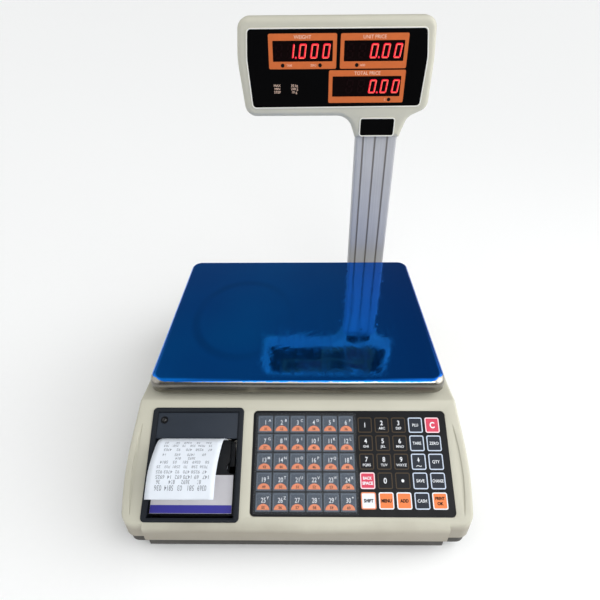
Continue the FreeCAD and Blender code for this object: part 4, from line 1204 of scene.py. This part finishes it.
    def mark_key(self, target: Piece, key: Key, right: float, down: float) -> None:
        """Letters one key.

        Args:
            target: The piece that takes the lettering.
            key: The key.
            right: Its middle from the overlay's left edge.
            down: Its middle from the overlay's upper edge.
        """
        if key.mark == ".":
            target.absorb(disc(1.3, *self.layers["letters"]), self.spot(right, down))
            return
        if not key.mark:
            self.feed_sign(target, right, down)
            return
        number = key.style is KeyStyle.DIGIT
        lift = 0.0
        weight = self.plain_weight if number or key.style is KeyStyle.FUNCTION else self.bold_weight
        if key.under:
            lift, drop, under_height = (1.9, 2.9, 2.1) if number else (2.1, 2.1, key.height)
            self.print_words(target, key.under, Mark(under_height, 0.0, drop, weight, widest=9.6), right, down)
        if key.style is KeyStyle.RED:
            weight = self.red_weight
        self.print_words(target, key.mark, Mark(key.height, 0.0, -lift, weight, widest=9.8, narrow=0.9), right, down)

    def feed_sign(self, target: Piece, right: float, down: float) -> None:
        """Paper feed sign: an arrow pointing up from a curled edge.

        Args:
            target: The piece that takes the sign.
            right: Its middle from the overlay's left edge.
            down: Its middle from the overlay's upper edge.
        """
        low, high = self.layers["letters"]
        target.absorb(plate(0.9, 3.2, 0.2, low, high), self.spot(right, down - 1.8))
        head = bmesh.new()
        bmesh.ops.create_circle(head, cap_ends=True, segments=3, radius=1.5)
        target.absorb(thicken(head, low, high), self.spot(right, down - 1.0) @ Matrix.Rotation(math.pi, 4, "Z"))
        wave = [(-2.4, 4.0), (-1.2, 3.2), (0.0, 3.6), (1.2, 4.2), (2.4, 3.6)]
        for (x0, y0), (x1, y1) in zip(wave, wave[1:]):
            turn = Matrix.Rotation(math.atan2(y0 - y1, x1 - x0), 4, "Z")
            length = math.hypot(x1 - x0, y1 - y0)
            middle = self.spot(right + (x0 + x1) / 2, down + (y0 + y1) / 2)
            target.absorb(plate(length + 0.3, 0.5, 0.2, low, high), middle @ turn)

    def build_pocket(self) -> None:
        """Clear film over the direct keys, sealed on three sides and open along its wavy right edge."""
        width, length = self.pocket_size
        left, top = self.pocket_corner
        part = bmesh.new()
        bmesh.ops.create_grid(part, x_segments=32, y_segments=30, size=0.5)
        for vertex in part.verts:
            across, along = vertex.co.x + 0.5, vertex.co.y + 0.5
            wave = 0.9 * math.sin((1 - along) * 11.4) if across > 0.98 else 0.0
            seal = min(1.0, across * 30, along * 28, (1 - along) * 28)
            ripple = 0.05 * math.sin(across * 21 + along * 5) + 0.05 * math.sin(along * 17 - across * 6)
            vertex.co = (left + across * (width - 1.0) + wave, -top - (1 - along) * length,
                         0.17 + 0.12 * seal + ripple * seal)
        film = Piece("price_card_pocket", Finish.POCKET)
        film.absorb(thicken(part, 0.0, 0.06), self.spot(0, 0))
        made = film.finish("casing", "clear_film", smooth=True)
        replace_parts(made, "film_pocket")

    def build(self) -> None:
        """Builds the whole keypad print."""
        self.build_cells()
        self.build_keys()
        self.build_pocket()


# ---------------------------------------------------------------- receipt printer
@dataclass
class Receipt:
    """Thermal paper that stands out of the slot and curls forward over the door.

    Lengths are deck millimetres. The path holds points of distance down the slope and height; each row of print has
    its share of the path, its groups of digits and their height.
    """

    plane: Plane
    letters: Lettering
    width: float = 57.5
    thickness: float = 0.09
    drift: float = -3.4
    path: tuple[Point2, ...] = ((36.8, -11.0), (36.8, 1.0), (37.4, 12.0), (41.2, 23.5), (50.2, 29.6), (61.0, 33.4),
                                (72.0, 33.6), (88.0, 30.4))
    steps: int = 90
    print_width: float = 46.0
    rows: tuple[tuple[float, int, float], ...] = (
        (0.45, 5, 2.4), (0.495, 6, 2.3), (0.545, 5, 2.5), (0.605, 4, 2.4), (0.645, 2, 2.3), (0.685, 5, 2.5),
        (0.735, 6, 2.5), (0.79, 6, 2.7), (0.84, 6, 2.8), (0.88, 4, 2.6), (0.922, 5, 3.0))

    def __post_init__(self) -> None:
        """Samples the curl and finds the paper's middle line once."""
        self.samples = self.sample()
        low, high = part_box("receipt_strip")
        self.middle = (low.x + high.x) / 2 / MM

    def sample(self) -> list[Vector]:
        """Points along the paper's centre line.

        Returns:
            Vectors of (distance down the slope, height), evenly spaced along the path's spans.
        """
        points = [Vector(point) for point in self.path]
        padded = [points[0] * 2 - points[1]] + points + [points[-1] * 2 - points[-2]]
        found: list[Vector] = []
        spans = len(points) - 1
        for step in range(self.steps + 1):
            where = step / self.steps * spans
            span = min(int(where), spans - 1)
            t = where - span
            a, b, c, d = padded[span:span + 4]
            found.append(0.5 * ((2 * b) + (c - a) * t + (2 * a - 5 * b + 4 * c - d) * t ** 2
                                + (3 * b - a - 3 * c + d) * t ** 3))
        return found

    def surface(self, across: float, share: float, lift: float) -> Vector:
        """A point on the paper in the deck's frame, in millimetres.

        Args:
            across: Distance from the paper's middle line.
            share: 0 at the printing nip, 1 at the torn end.
            lift: Height above the printed side.

        Returns:
            The point.
        """
        where = max(0.0, min(share, 1.0)) * self.steps
        index = min(int(where), self.steps - 1)
        t = where - index
        here = self.samples[index].lerp(self.samples[index + 1], t)
        along = (self.samples[index + 1] - self.samples[index]).normalized()
        normal = Vector((-along.y, along.x))
        sideways = self.drift * max(0.0, share - 0.45) / 0.55
        bow = 0.35 * math.sin(share * 9.0 + across * 0.05) * max(0.0, share - 0.3)
        down, height = here + normal * (lift + bow)
        return Vector((self.middle + across + sideways, -(down - CREASE_DOWN), height))

    def bend(self, part: Shape) -> None:
        """Wraps a flat part, whose y runs from 0 to 1 along the paper, round the curl."""
        for vertex in part.verts:
            vertex.co = self.surface(vertex.co.x, vertex.co.y, vertex.co.z)

    def build_sheet(self) -> None:
        """The paper itself."""
        part = bmesh.new()
        bmesh.ops.create_grid(part, x_segments=12, y_segments=self.steps, size=0.5)
        for vertex in part.verts:
            share = vertex.co.y + 0.5
            torn = 0.0 if share < 0.999 else -0.004 * abs(math.sin(vertex.co.x * 37.0))
            vertex.co = (vertex.co.x * self.width, share + torn, 0.0)
        sheet = thicken(part, -self.thickness / 2, self.thickness / 2)
        self.bend(sheet)
        piece = Piece("receipt_paper", Finish.PAPER)
        piece.absorb(sheet, self.plane.matrix @ Matrix.Scale(MM, 4))
        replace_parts(piece.finish("printer_door", "paper_white", smooth=True), "receipt_strip")

    def build_print(self) -> None:
        """Rows of small plain digits, upside down to the operator."""
        piece = Piece("receipt_print", Finish.GREY_PRINT)
        length = sum((b - a).length for a, b in zip(self.samples, self.samples[1:]))
        for row, (share, groups, height) in enumerate(self.rows):
            for group in range(groups):
                count = 2 + (row + group) % 3
                digits = "".join(str((row * 7 + group * 5 + place * 3) % 10) for place in range(count))
                across = (group - (groups - 1) / 2) * self.print_width / max(groups, 4) + (row % 3 - 1) * 1.5
                part = self.letters.write(digits, height, 0.0, 0.02, 0.004, 7.4, 0.95)
                for vertex in part.verts:
                    vertex.co = (across - vertex.co.x, share + vertex.co.y / length, vertex.co.z + self.thickness / 2)
                self.bend(part)
                piece.absorb(part, self.plane.matrix @ Matrix.Scale(MM, 4))
        piece.finish("printer_door", "paper_white")

    def build(self) -> None:
        """Builds the paper and its print."""
        self.build_sheet()
        self.build_print()


@dataclass
class PrinterTrim:
    """Small things on the printer: the card's blue band, and the ring and dome of the feed button.

    Lengths are deck millimetres; the two middles are distances down the slope and out of it.
    """

    plane: Plane
    band: float = 6.6
    band_middle: Point2 = (95.9, -2.58)
    ring_middle: Point2 = (19.1, 0.55)
    ring_outer: float = 3.5
    ring_inner: float = 3.1
    dome_radius: float = 1.9
    dome_height: float = 0.7

    def spot(self, x: float, down: float, out: float) -> Matrix:
        """A place on the deck in millimetres, from the crease down."""
        return self.plane.at(x * MM, -(down - CREASE_DOWN) * MM, out * MM) @ Matrix.Scale(MM, 4)

    def build_band(self) -> None:
        """The card's blue band along its lower edge."""
        low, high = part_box("door_card")
        width = (high.x - low.x) / MM - 0.2
        piece = Piece("card_band", Finish.BLUE_INK)
        piece.absorb(plate(width, self.band, 0.0, 0.0, 0.05), self.spot((low.x + high.x) / 2 / MM, *self.band_middle))
        piece.finish("printer_door", "card_white")

    def build_ring(self) -> None:
        """The sunk ring round the feed button."""
        low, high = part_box("feed_button")
        ring = bmesh.new()
        bmesh.ops.create_circle(ring, cap_ends=False, segments=40, radius=self.ring_inner)
        outer = new_points(bmesh.ops.extrude_edge_only(ring, edges=ring.edges[:]))
        factor = self.ring_outer / self.ring_inner
        bmesh.ops.scale(ring, vec=(factor, factor, 1.0), verts=outer)
        piece = Piece("button_ring", Finish.LEVER)
        piece.absorb(thicken(ring, 0.0, 0.25), self.spot((low.x + high.x) / 2 / MM, *self.ring_middle))
        piece.finish("casing", "button_black")

    def build_dome(self) -> None:
        """The polished dome in the middle of the feed button."""
        low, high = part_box("feed_button")
        dome = bmesh.new()
        bmesh.ops.create_circle(dome, cap_ends=True, segments=32, radius=self.dome_radius)
        top = new_points(bmesh.ops.extrude_face_region(dome, geom=dome.faces[:], use_keep_orig=True))
        bmesh.ops.translate(dome, vec=(0, 0, self.dome_height), verts=top)
        crown = [edge for edge in dome.edges if all(vertex in top for vertex in edge.verts)]
        bmesh.ops.bevel(dome, geom=crown, offset=self.dome_height * 0.95, affect="EDGES", segments=5, profile=0.5,
                        material=-1)
        piece = Piece("button_dome", Finish.DOME)
        middle = self.plane.matrix.inverted() @ ((low + high) / 2)
        piece.absorb(dome, self.plane.at(middle.x, middle.y, self.button_top()) @ Matrix.Scale(MM, 4))
        piece.finish("feed_button", "button_black", smooth=True)

    def button_top(self) -> float:
        """Height of the feed button's face over the deck, in metres."""
        inverse = self.plane.matrix.inverted()
        return max((inverse @ vertex.co).z for vertex in frame["nodes"]["feed_button"].data.vertices) - 0.02 * MM

    def build(self) -> None:
        """Builds the trim."""
        self.build_band()
        self.build_ring()
        self.build_dome()


# ---------------------------------------------------------------- display head
@dataclass(frozen=True)
class Readout:
    """One framed window of the display, in millimetres of the head's face.

    Each lamp has its place across, its label, and the side the label stands on.
    """

    title: str
    frame_x: Point2
    frame_z: Point2
    window_x: Point2
    window_z: Point2
    value: str
    last_digit: float
    lamps: tuple[tuple[float, str, int], ...]


READOUTS: tuple[Readout, ...] = (
    Readout("WEIGHT", (-30.5, 41.6), (345.4, 378.7), (-26.1, 37.6), (352.6, 372.2), "1.000", 30.7,
            ((-15.9, "TARE", 1), (24.3, "ZERO", -1))),
    Readout("UNIT PRICE", (45.6, 116.6), (345.4, 378.5), (49.5, 112.9), (352.4, 372.0), "0.00", 106.5,
            ((63.7, "ADD", 1),)),
    Readout("TOTAL PRICE", (34.1, 117.2), (310.9, 343.9), (38.2, 112.9), (317.4, 337.9), "0.00", 107.4,
            ((101.4, "C", -1),)))

SEGMENTS_LIT: dict[str, str] = {"0": "abcdef", "1": "bc"}


@dataclass
class DisplayFace:
    """The printed and lit face of the display head, on the front or the customer's side. Millimetres."""

    letters: Lettering
    lens: str
    prefix: str
    rear: bool = False
    digit_height: float = 14.0
    digit_width: float = 7.6
    digit_pitch: float = 12.6
    stroke: float = 1.75
    slant: float = 0.13
    lamp: float = 2.0
    line_pitch: float = 3.4
    ratings_z: float = 329.1
    ratings: tuple[tuple[str, str], ...] = (("MAX", "30 kg"), ("MIN", "200 g"), ("STEP", "10 g"))
    ratings_x: Point2 = (-22.5, -3.5)
    ratings_widest: Point2 = (20.0, 12.0)
    ink: Point2 = (0.0, 0.06)
    ratings_ink: Point2 = (0.0, 0.04)
    glow: Point2 = (0.02, 0.10)
    unlit: Point2 = (0.02, 0.06)
    frame_ink: Point2 = (-0.02, 0.03)
    frame_radius: float = 1.6
    window_film: Point2 = (0.0, 0.05)
    window_radius: float = 0.7
    point_radius: float = 1.05

    def __post_init__(self) -> None:
        """Finds the face's plane once."""
        self.place = self.plane()

    def plane(self) -> Plane:
        """The face's plane, from its lens.

        Returns:
            A plane with x to the viewer's right, y up and z towards the viewer.
        """
        low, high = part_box(self.lens)
        if not self.rear:
            return Plane(Matrix.Translation((0, low.y, 0)) @ Matrix.Rotation(math.pi / 2, 4, "X"))
        middle = low.x + high.x
        turn = Matrix.Translation((middle, high.y, 0)) @ Matrix.Rotation(math.pi, 4, "Z")
        return Plane(turn @ Matrix.Rotation(math.pi / 2, 4, "X"))

    def spot(self, x: float, z: float) -> Matrix:
        """A place on the face in millimetres; the customer's side is printed thinner, flush with its shell."""
        depth = MM * (0.2 if self.rear else 1.0)
        return self.place.at(x * MM, z * MM) @ Matrix.Diagonal((MM, MM, depth, 1.0))

    def panel(self, target: Piece, across: Point2, up: Point2, radius: float, layer: Point2) -> None:
        """Lays a rounded rectangle on the face.

        Args:
            target: The piece that takes it.
            across: Its left and right edge.
            up: Its lower and upper edge.
            radius: Its corner radius.
            layer: Its underside and top.
        """
        made = plate(across[1] - across[0], up[1] - up[0], radius, *layer)
        target.absorb(made, self.spot(sum(across) / 2, sum(up) / 2))

    def segment_spots(self) -> dict[str, tuple[float, float, bool]]:
        """Lays out the seven segments.

        Returns:
            By letter, each segment's middle from the digit's middle, and whether it lies flat.
        """
        half_w = (self.digit_width - self.stroke) / 2
        half_h = (self.digit_height - self.stroke) / 2
        return {"a": (0, half_h, True), "g": (0, 0, True), "d": (0, -half_h, True),
                "f": (-half_w, half_h / 2, False), "b": (half_w, half_h / 2, False),
                "e": (-half_w, -half_h / 2, False), "c": (half_w, -half_h / 2, False)}

    def segment(self, flat: bool, low: float, high: float) -> Shape:
        """One segment with pointed ends and a brighter core.

        Args:
            flat: Whether it lies along x.
            low: Underside.
            high: Top side.

        Returns:
            The segment's mesh.
        """
        length = (self.digit_width - self.stroke if flat else (self.digit_height - self.stroke) / 2) - 0.35
        part = rectangle(length + self.stroke, self.stroke, self.stroke * 0.49, 1)
        bmesh.ops.remove_doubles(part, verts=part.verts, dist=0.05)
        bmesh.ops.inset_region(part, faces=part.faces[:], thickness=self.stroke * 0.36, use_boundary=True,
                               use_even_offset=True)
        core = max(part.faces, key=lambda face: face.calc_area())
        core.material_index = 1
        thicken(part, low, high)
        if not flat:
            bmesh.ops.rotate(part, matrix=Matrix.Rotation(math.pi / 2, 3, "Z"), verts=part.verts)
        return part

    def add_digit(self, lit: Piece, unlit: Piece, character: str, x: float, z: float) -> None:
        """Adds one seven-segment digit.

        Args:
            lit: Piece for the segments that glow.
            unlit: Piece for the dark ones.
            character: The digit shown, or a blank.
            x: Middle of the digit across.
            z: Middle of the digit up.
        """
        shear = Matrix.Identity(4)
        shear[0][1] = self.slant
        for name, (dx, dz, flat) in self.segment_spots().items():
            glows = name in SEGMENTS_LIT.get(character, "")
            target = lit if glows else unlit
            part = self.segment(flat, *(self.glow if glows else self.unlit))
            if not glows:
                for face in part.faces:
                    face.material_index = 0
            bmesh.ops.translate(part, vec=(dx, dz, 0), verts=part.verts)
            target.absorb(part, self.spot(x, z) @ shear)

    def add_value(self, readout: Readout, lit: Piece, unlit: Piece) -> None:
        """Adds a readout's digits and its decimal point.

        Args:
            readout: The readout.
            lit: Piece for the segments that glow.
            unlit: Piece for the dark ones.
        """
        middle_z = sum(readout.window_z) / 2
        digits = readout.value.replace(".", "").rjust(5)
        for place, character in enumerate(reversed(digits)):
            x = readout.last_digit - place * self.digit_pitch
            if x - self.digit_width / 2 > readout.window_x[0]:
                self.add_digit(lit, unlit, character, x, middle_z)
        after_point = len(readout.value) - readout.value.index(".") - 1
        x = readout.last_digit - (after_point - 0.5) * self.digit_pitch - 0.9
        lit.absorb(disc(self.point_radius, *self.glow), self.spot(x, middle_z - self.digit_height / 2 + 0.9))

    def add_frame(self, readout: Readout, frames: Piece, words: Piece, lamps: Piece, windows: Piece) -> None:
        """Adds a readout's orange frame, title, lamps and dark window.

        Args:
            readout: The readout.
            frames: Piece for the frame.
            words: Piece for the title and the labels.
            lamps: Piece for the lamps.
            windows: Piece for the window.
        """
        self.panel(frames, readout.frame_x, readout.frame_z, self.frame_radius, self.frame_ink)
        self.panel(windows, readout.window_x, readout.window_z, self.window_radius, self.window_film)
        title_z = (readout.frame_z[1] + readout.window_z[1]) / 2
        words.absorb(self.letters.write(readout.title, 3.3, *self.ink, 0.0, 40.0, 0.97),
                     self.spot(sum(readout.frame_x) / 2, title_z))
        lamp_z = (readout.frame_z[0] + readout.window_z[0]) / 2 - 0.1
        for x, label, side in readout.lamps:
            lamps.absorb(disc(self.lamp, *self.ink), self.spot(x, lamp_z))
            words.absorb(self.letters.write(label, 2.0, *self.ink, 0.0, 9.0, 0.85),
                         self.spot(x + side * (3.6 + len(label) * 0.9), lamp_z))

    def build(self) -> None:
        """Builds the face."""
        frames = Piece(self.prefix + "_frames", Finish.FRAME_INK)
        words = Piece(self.prefix + "_words", Finish.TITLE_INK)
        lamps = Piece(self.prefix + "_lamps", Finish.BLACK_INK)
        windows = Piece(self.prefix + "_windows", Finish.WINDOW)
        lit = Piece(self.prefix + "_lit_segments", Finish.SEGMENT_RED, Finish.SEGMENT_CORE)
        unlit = Piece(self.prefix + "_unlit_segments", Finish.SEGMENT_DARK)
        for readout in READOUTS:
            self.add_frame(readout, frames, words, lamps, windows)
            self.add_value(readout, lit, unlit)
        for line, pair in enumerate(self.ratings):
            z = self.ratings_z - line * self.line_pitch
            for entry, x, widest in zip(pair, self.ratings_x, self.ratings_widest):
                words.absorb(self.letters.write(entry, 2.4, *self.ratings_ink, 0.0, widest), self.spot(x, z))
        for piece in (frames, words, lamps, windows):
            piece.finish("casing", "lens_black")
        for piece in (lit, unlit):
            piece.finish("casing", "led_module")


@dataclass
class LensRim:
    """A rounded bead moulded round a black window of the front shell, paler than the shell as a painted highlight.
    Metres.
    """

    window: str
    width: float = 0.0013
    height: float = 0.0009
    rounding: float = 0.00055
    facing: float = 0.99
    slack: float = 1e-5

    def outline(self) -> tuple[Shape, list[bmesh.types.BMFace]]:
        """The window's front face, loose, as the start of the bead.

        Returns:
            The mesh and the faces that the window itself fills.
        """
        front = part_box(self.window)[0].y
        part = bmesh.new()
        part.from_mesh(frame["nodes"][self.window].data)
        bmesh.ops.remove_doubles(part, verts=part.verts, dist=1e-6)
        behind = [face for face in part.faces
                  if face.normal.y > -self.facing or face.calc_center_median().y > front + self.slack]
        bmesh.ops.delete(part, geom=behind, context="FACES")
        return part, part.faces[:]

    def spread_out(self, loop: list[bmesh.types.BMVert]) -> None:
        """Moves a closed loop of points outwards by the bead's width.

        Args:
            loop: The loop's points, in any order.
        """
        inside = set(loop)
        middle = sum((vertex.co for vertex in loop), Vector()) / len(loop)
        shifts = {}
        for vertex in loop:
            normals = []
            for edge in vertex.link_edges:
                if edge.other_vert(vertex) in inside:
                    run = edge.verts[1].co - edge.verts[0].co
                    normal = Vector((run.z, 0.0, -run.x)).normalized()
                    outward = (edge.verts[0].co - middle).dot(normal) > 0
                    normals.append(normal if outward else -normal)
            shifts[vertex] = (normals[0] + normals[1]) / (1.0 + normals[0].dot(normals[1])) * self.width
        for vertex, shift in shifts.items():
            vertex.co += shift

    def build(self) -> None:
        """Builds the bead from the window's own outline."""
        part, window = self.outline()
        rim = [edge for edge in part.edges if edge.is_boundary]
        self.spread_out(new_points(bmesh.ops.extrude_edge_only(part, edges=rim)))
        bmesh.ops.delete(part, geom=window, context="FACES")
        base = part.verts[:]
        lifted = bmesh.ops.extrude_face_region(part, geom=part.faces[:], use_keep_orig=True)
        raised = set(new_points(lifted)) - set(base)
        bmesh.ops.translate(part, vec=(0, -self.height, 0), verts=list(raised))
        bmesh.ops.recalc_face_normals(part, faces=part.faces)
        ridges = [edge for edge in part.edges if set(edge.verts) <= raised
                  and any(abs(face.normal.y) < 0.5 for face in edge.link_faces)]
        bmesh.ops.bevel(part, geom=ridges, offset=self.rounding, affect="EDGES", segments=3, profile=0.5, material=-1)
        # the bead's paler cream is a painted highlight
        piece = Piece(self.window + "_rim", Finish.HIGHLIT_RIM)
        piece.absorb(part, Matrix.Identity(4))
        piece.finish("casing", "housing_cream")


# ---------------------------------------------------------------- studio
@dataclass
class Viewpoint:
    """The camera: where it stands and where it looks. Metres and degrees."""

    position: Point3 = (0.00895, -0.38316, 0.42811)
    pitch: float = 35.783
    yaw: float = -0.970
    roll: float = 0.675
    lens: float = 27.08

    def build(self) -> None:
        """Makes the camera and gives it to the scene."""
        pitch, yaw, roll = (math.radians(angle) for angle in (self.pitch, self.yaw, self.roll))
        forward = Vector((math.sin(yaw) * math.cos(pitch), math.cos(yaw) * math.cos(pitch), -math.sin(pitch)))
        right = Vector((math.cos(yaw), -math.sin(yaw), 0.0))
        down = forward.cross(right)
        across = right * math.cos(roll) + down * math.sin(roll)
        below = down * math.cos(roll) - right * math.sin(roll)
        data = bpy.data.cameras.new("viewpoint")
        data.lens = self.lens
        data.sensor_width = 36.0
        data.clip_start = 0.01
        camera = bpy.data.objects.new("viewpoint", data)
        turn = Matrix((across, -below, -forward)).transposed().to_4x4()
        camera.matrix_world = Matrix.Translation(self.position) @ turn
        bpy.context.scene.collection.objects.link(camera)
        bpy.context.scene.camera = camera


@dataclass(frozen=True)
class SoftWall:
    """A bright patch of the room, given by its direction, how wide it is and how bright."""

    direction: Point3
    edge: float
    core: float
    brightness: float


@dataclass(frozen=True)
class SoftBox:
    """A rectangular area light: its size, its power in watts, where it hangs and what it faces."""

    name: str
    size: Point2
    power: float
    position: Point3
    target: Point3

    def build(self) -> None:
        """Hangs the light."""
        data = bpy.data.lights.new(self.name, "AREA")
        data.shape = "RECTANGLE"
        data.size, data.size_y = self.size
        data.energy = self.power
        light = bpy.data.objects.new(self.name, data)
        light.location = self.position
        aim = Vector(self.target) - Vector(self.position)
        light.rotation_euler = aim.to_track_quat("-Z", "Y").to_euler()
        bpy.context.scene.collection.objects.link(light)


@dataclass
class Studio:
    """Pale floor, three bright walls in a dimmer room, and two soft boxes."""

    floor_colour: str = "fafbfb"
    reach: float = 14.0
    room: float = 0.13
    walls: tuple[SoftWall, ...] = (
        SoftWall((0.85, -0.04, 0.55), 0.60, 0.97, 2.3), SoftWall((-0.85, -0.04, 0.55), 0.60, 0.97, 0.9),
        SoftWall((0.10, -0.62, 0.78), 0.90, 0.985, 2.1))
    boxes: tuple[SoftBox, ...] = (
        SoftBox("head_fill", (0.4, 0.3), 0.8, (0.30, -0.60, 0.75), (0.04, 0.16, 0.34)),
        SoftBox("side_key", (0.5, 0.5), 1.0, (0.80, -0.20, 0.55), (0.0, -0.05, 0.08)))

    def build_floor(self) -> None:
        """A wide pale floor."""
        part = bmesh.new()
        bmesh.ops.create_grid(part, x_segments=1, y_segments=1, size=self.reach)
        mesh = bpy.data.meshes.new("floor")
        part.to_mesh(mesh)
        part.free()
        floor = bpy.data.objects.new("floor", mesh)
        mesh.materials.append(Ink("floor_paper", self.floor_colour, 0.8, 0.99).build())
        bpy.context.scene.collection.objects.link(floor)

    def build_world(self) -> None:
        """A dim room with its bright walls."""
        world = bpy.data.worlds.new("studio")
        world.use_nodes = True
        tree = world.node_tree
        direction = tree.nodes.new("ShaderNodeTexCoord").outputs["Generated"]
        total = tree.nodes.new("ShaderNodeValue").outputs["Value"]
        total.default_value = self.room
        for wall in self.walls:
            facing = tree.nodes.new("ShaderNodeVectorMath")
            facing.operation = "DOT_PRODUCT"
            facing.inputs[1].default_value = Vector(wall.direction).normalized()
            rise = tree.nodes.new("ShaderNodeMapRange")
            rise.interpolation_type = "SMOOTHSTEP"
            rise.inputs["From Min"].default_value = wall.edge
            rise.inputs["From Max"].default_value = wall.core
            rise.inputs["To Max"].default_value = wall.brightness
            both = tree.nodes.new("ShaderNodeMath")
            tree.links.new(direction, facing.inputs[0])
            tree.links.new(facing.outputs["Value"], rise.inputs["Value"])
            tree.links.new(rise.outputs["Result"], both.inputs[0])
            tree.links.new(total, both.inputs[1])
            total = both.outputs["Value"]
        background = tree.nodes["Background"]
        background.inputs["Color"].default_value = (1.0, 1.0, 1.0, 1.0)
        tree.links.new(total, background.inputs["Strength"])
        bpy.context.scene.world = world

    def build(self) -> None:
        """Builds the floor, the room and the lights."""
        self.build_floor()
        self.build_world()
        for box in self.boxes:
            box.build()
        bpy.context.scene.view_settings.view_transform = "Standard"


def main() -> None:
    """Builds the scale's looks in order."""
    Viewpoint().build()
    Studio().build()
    FrameDresser().dress()
    plane = deck_plane()
    letters = Lettering()
    builders: tuple[tuple[str, Callable[[], None]], ...] = (
        ("keypad", Keypad(plane, letters).build),
        ("receipt", Receipt(plane, letters).build),
        ("printer trim", PrinterTrim(plane).build),
        ("front display", DisplayFace(letters, "front_lens", "front").build),
        ("lens rim", LensRim("front_lens").build),
        ("neck rim", LensRim("neck_badge").build),
        ("rear display", DisplayFace(letters, "rear_lens", "rear", rear=True).build))
    for name, build in builders:
        build()
        LOG.info("%s built", name)
    letters.close()


if __name__ == "__main__":
    main()
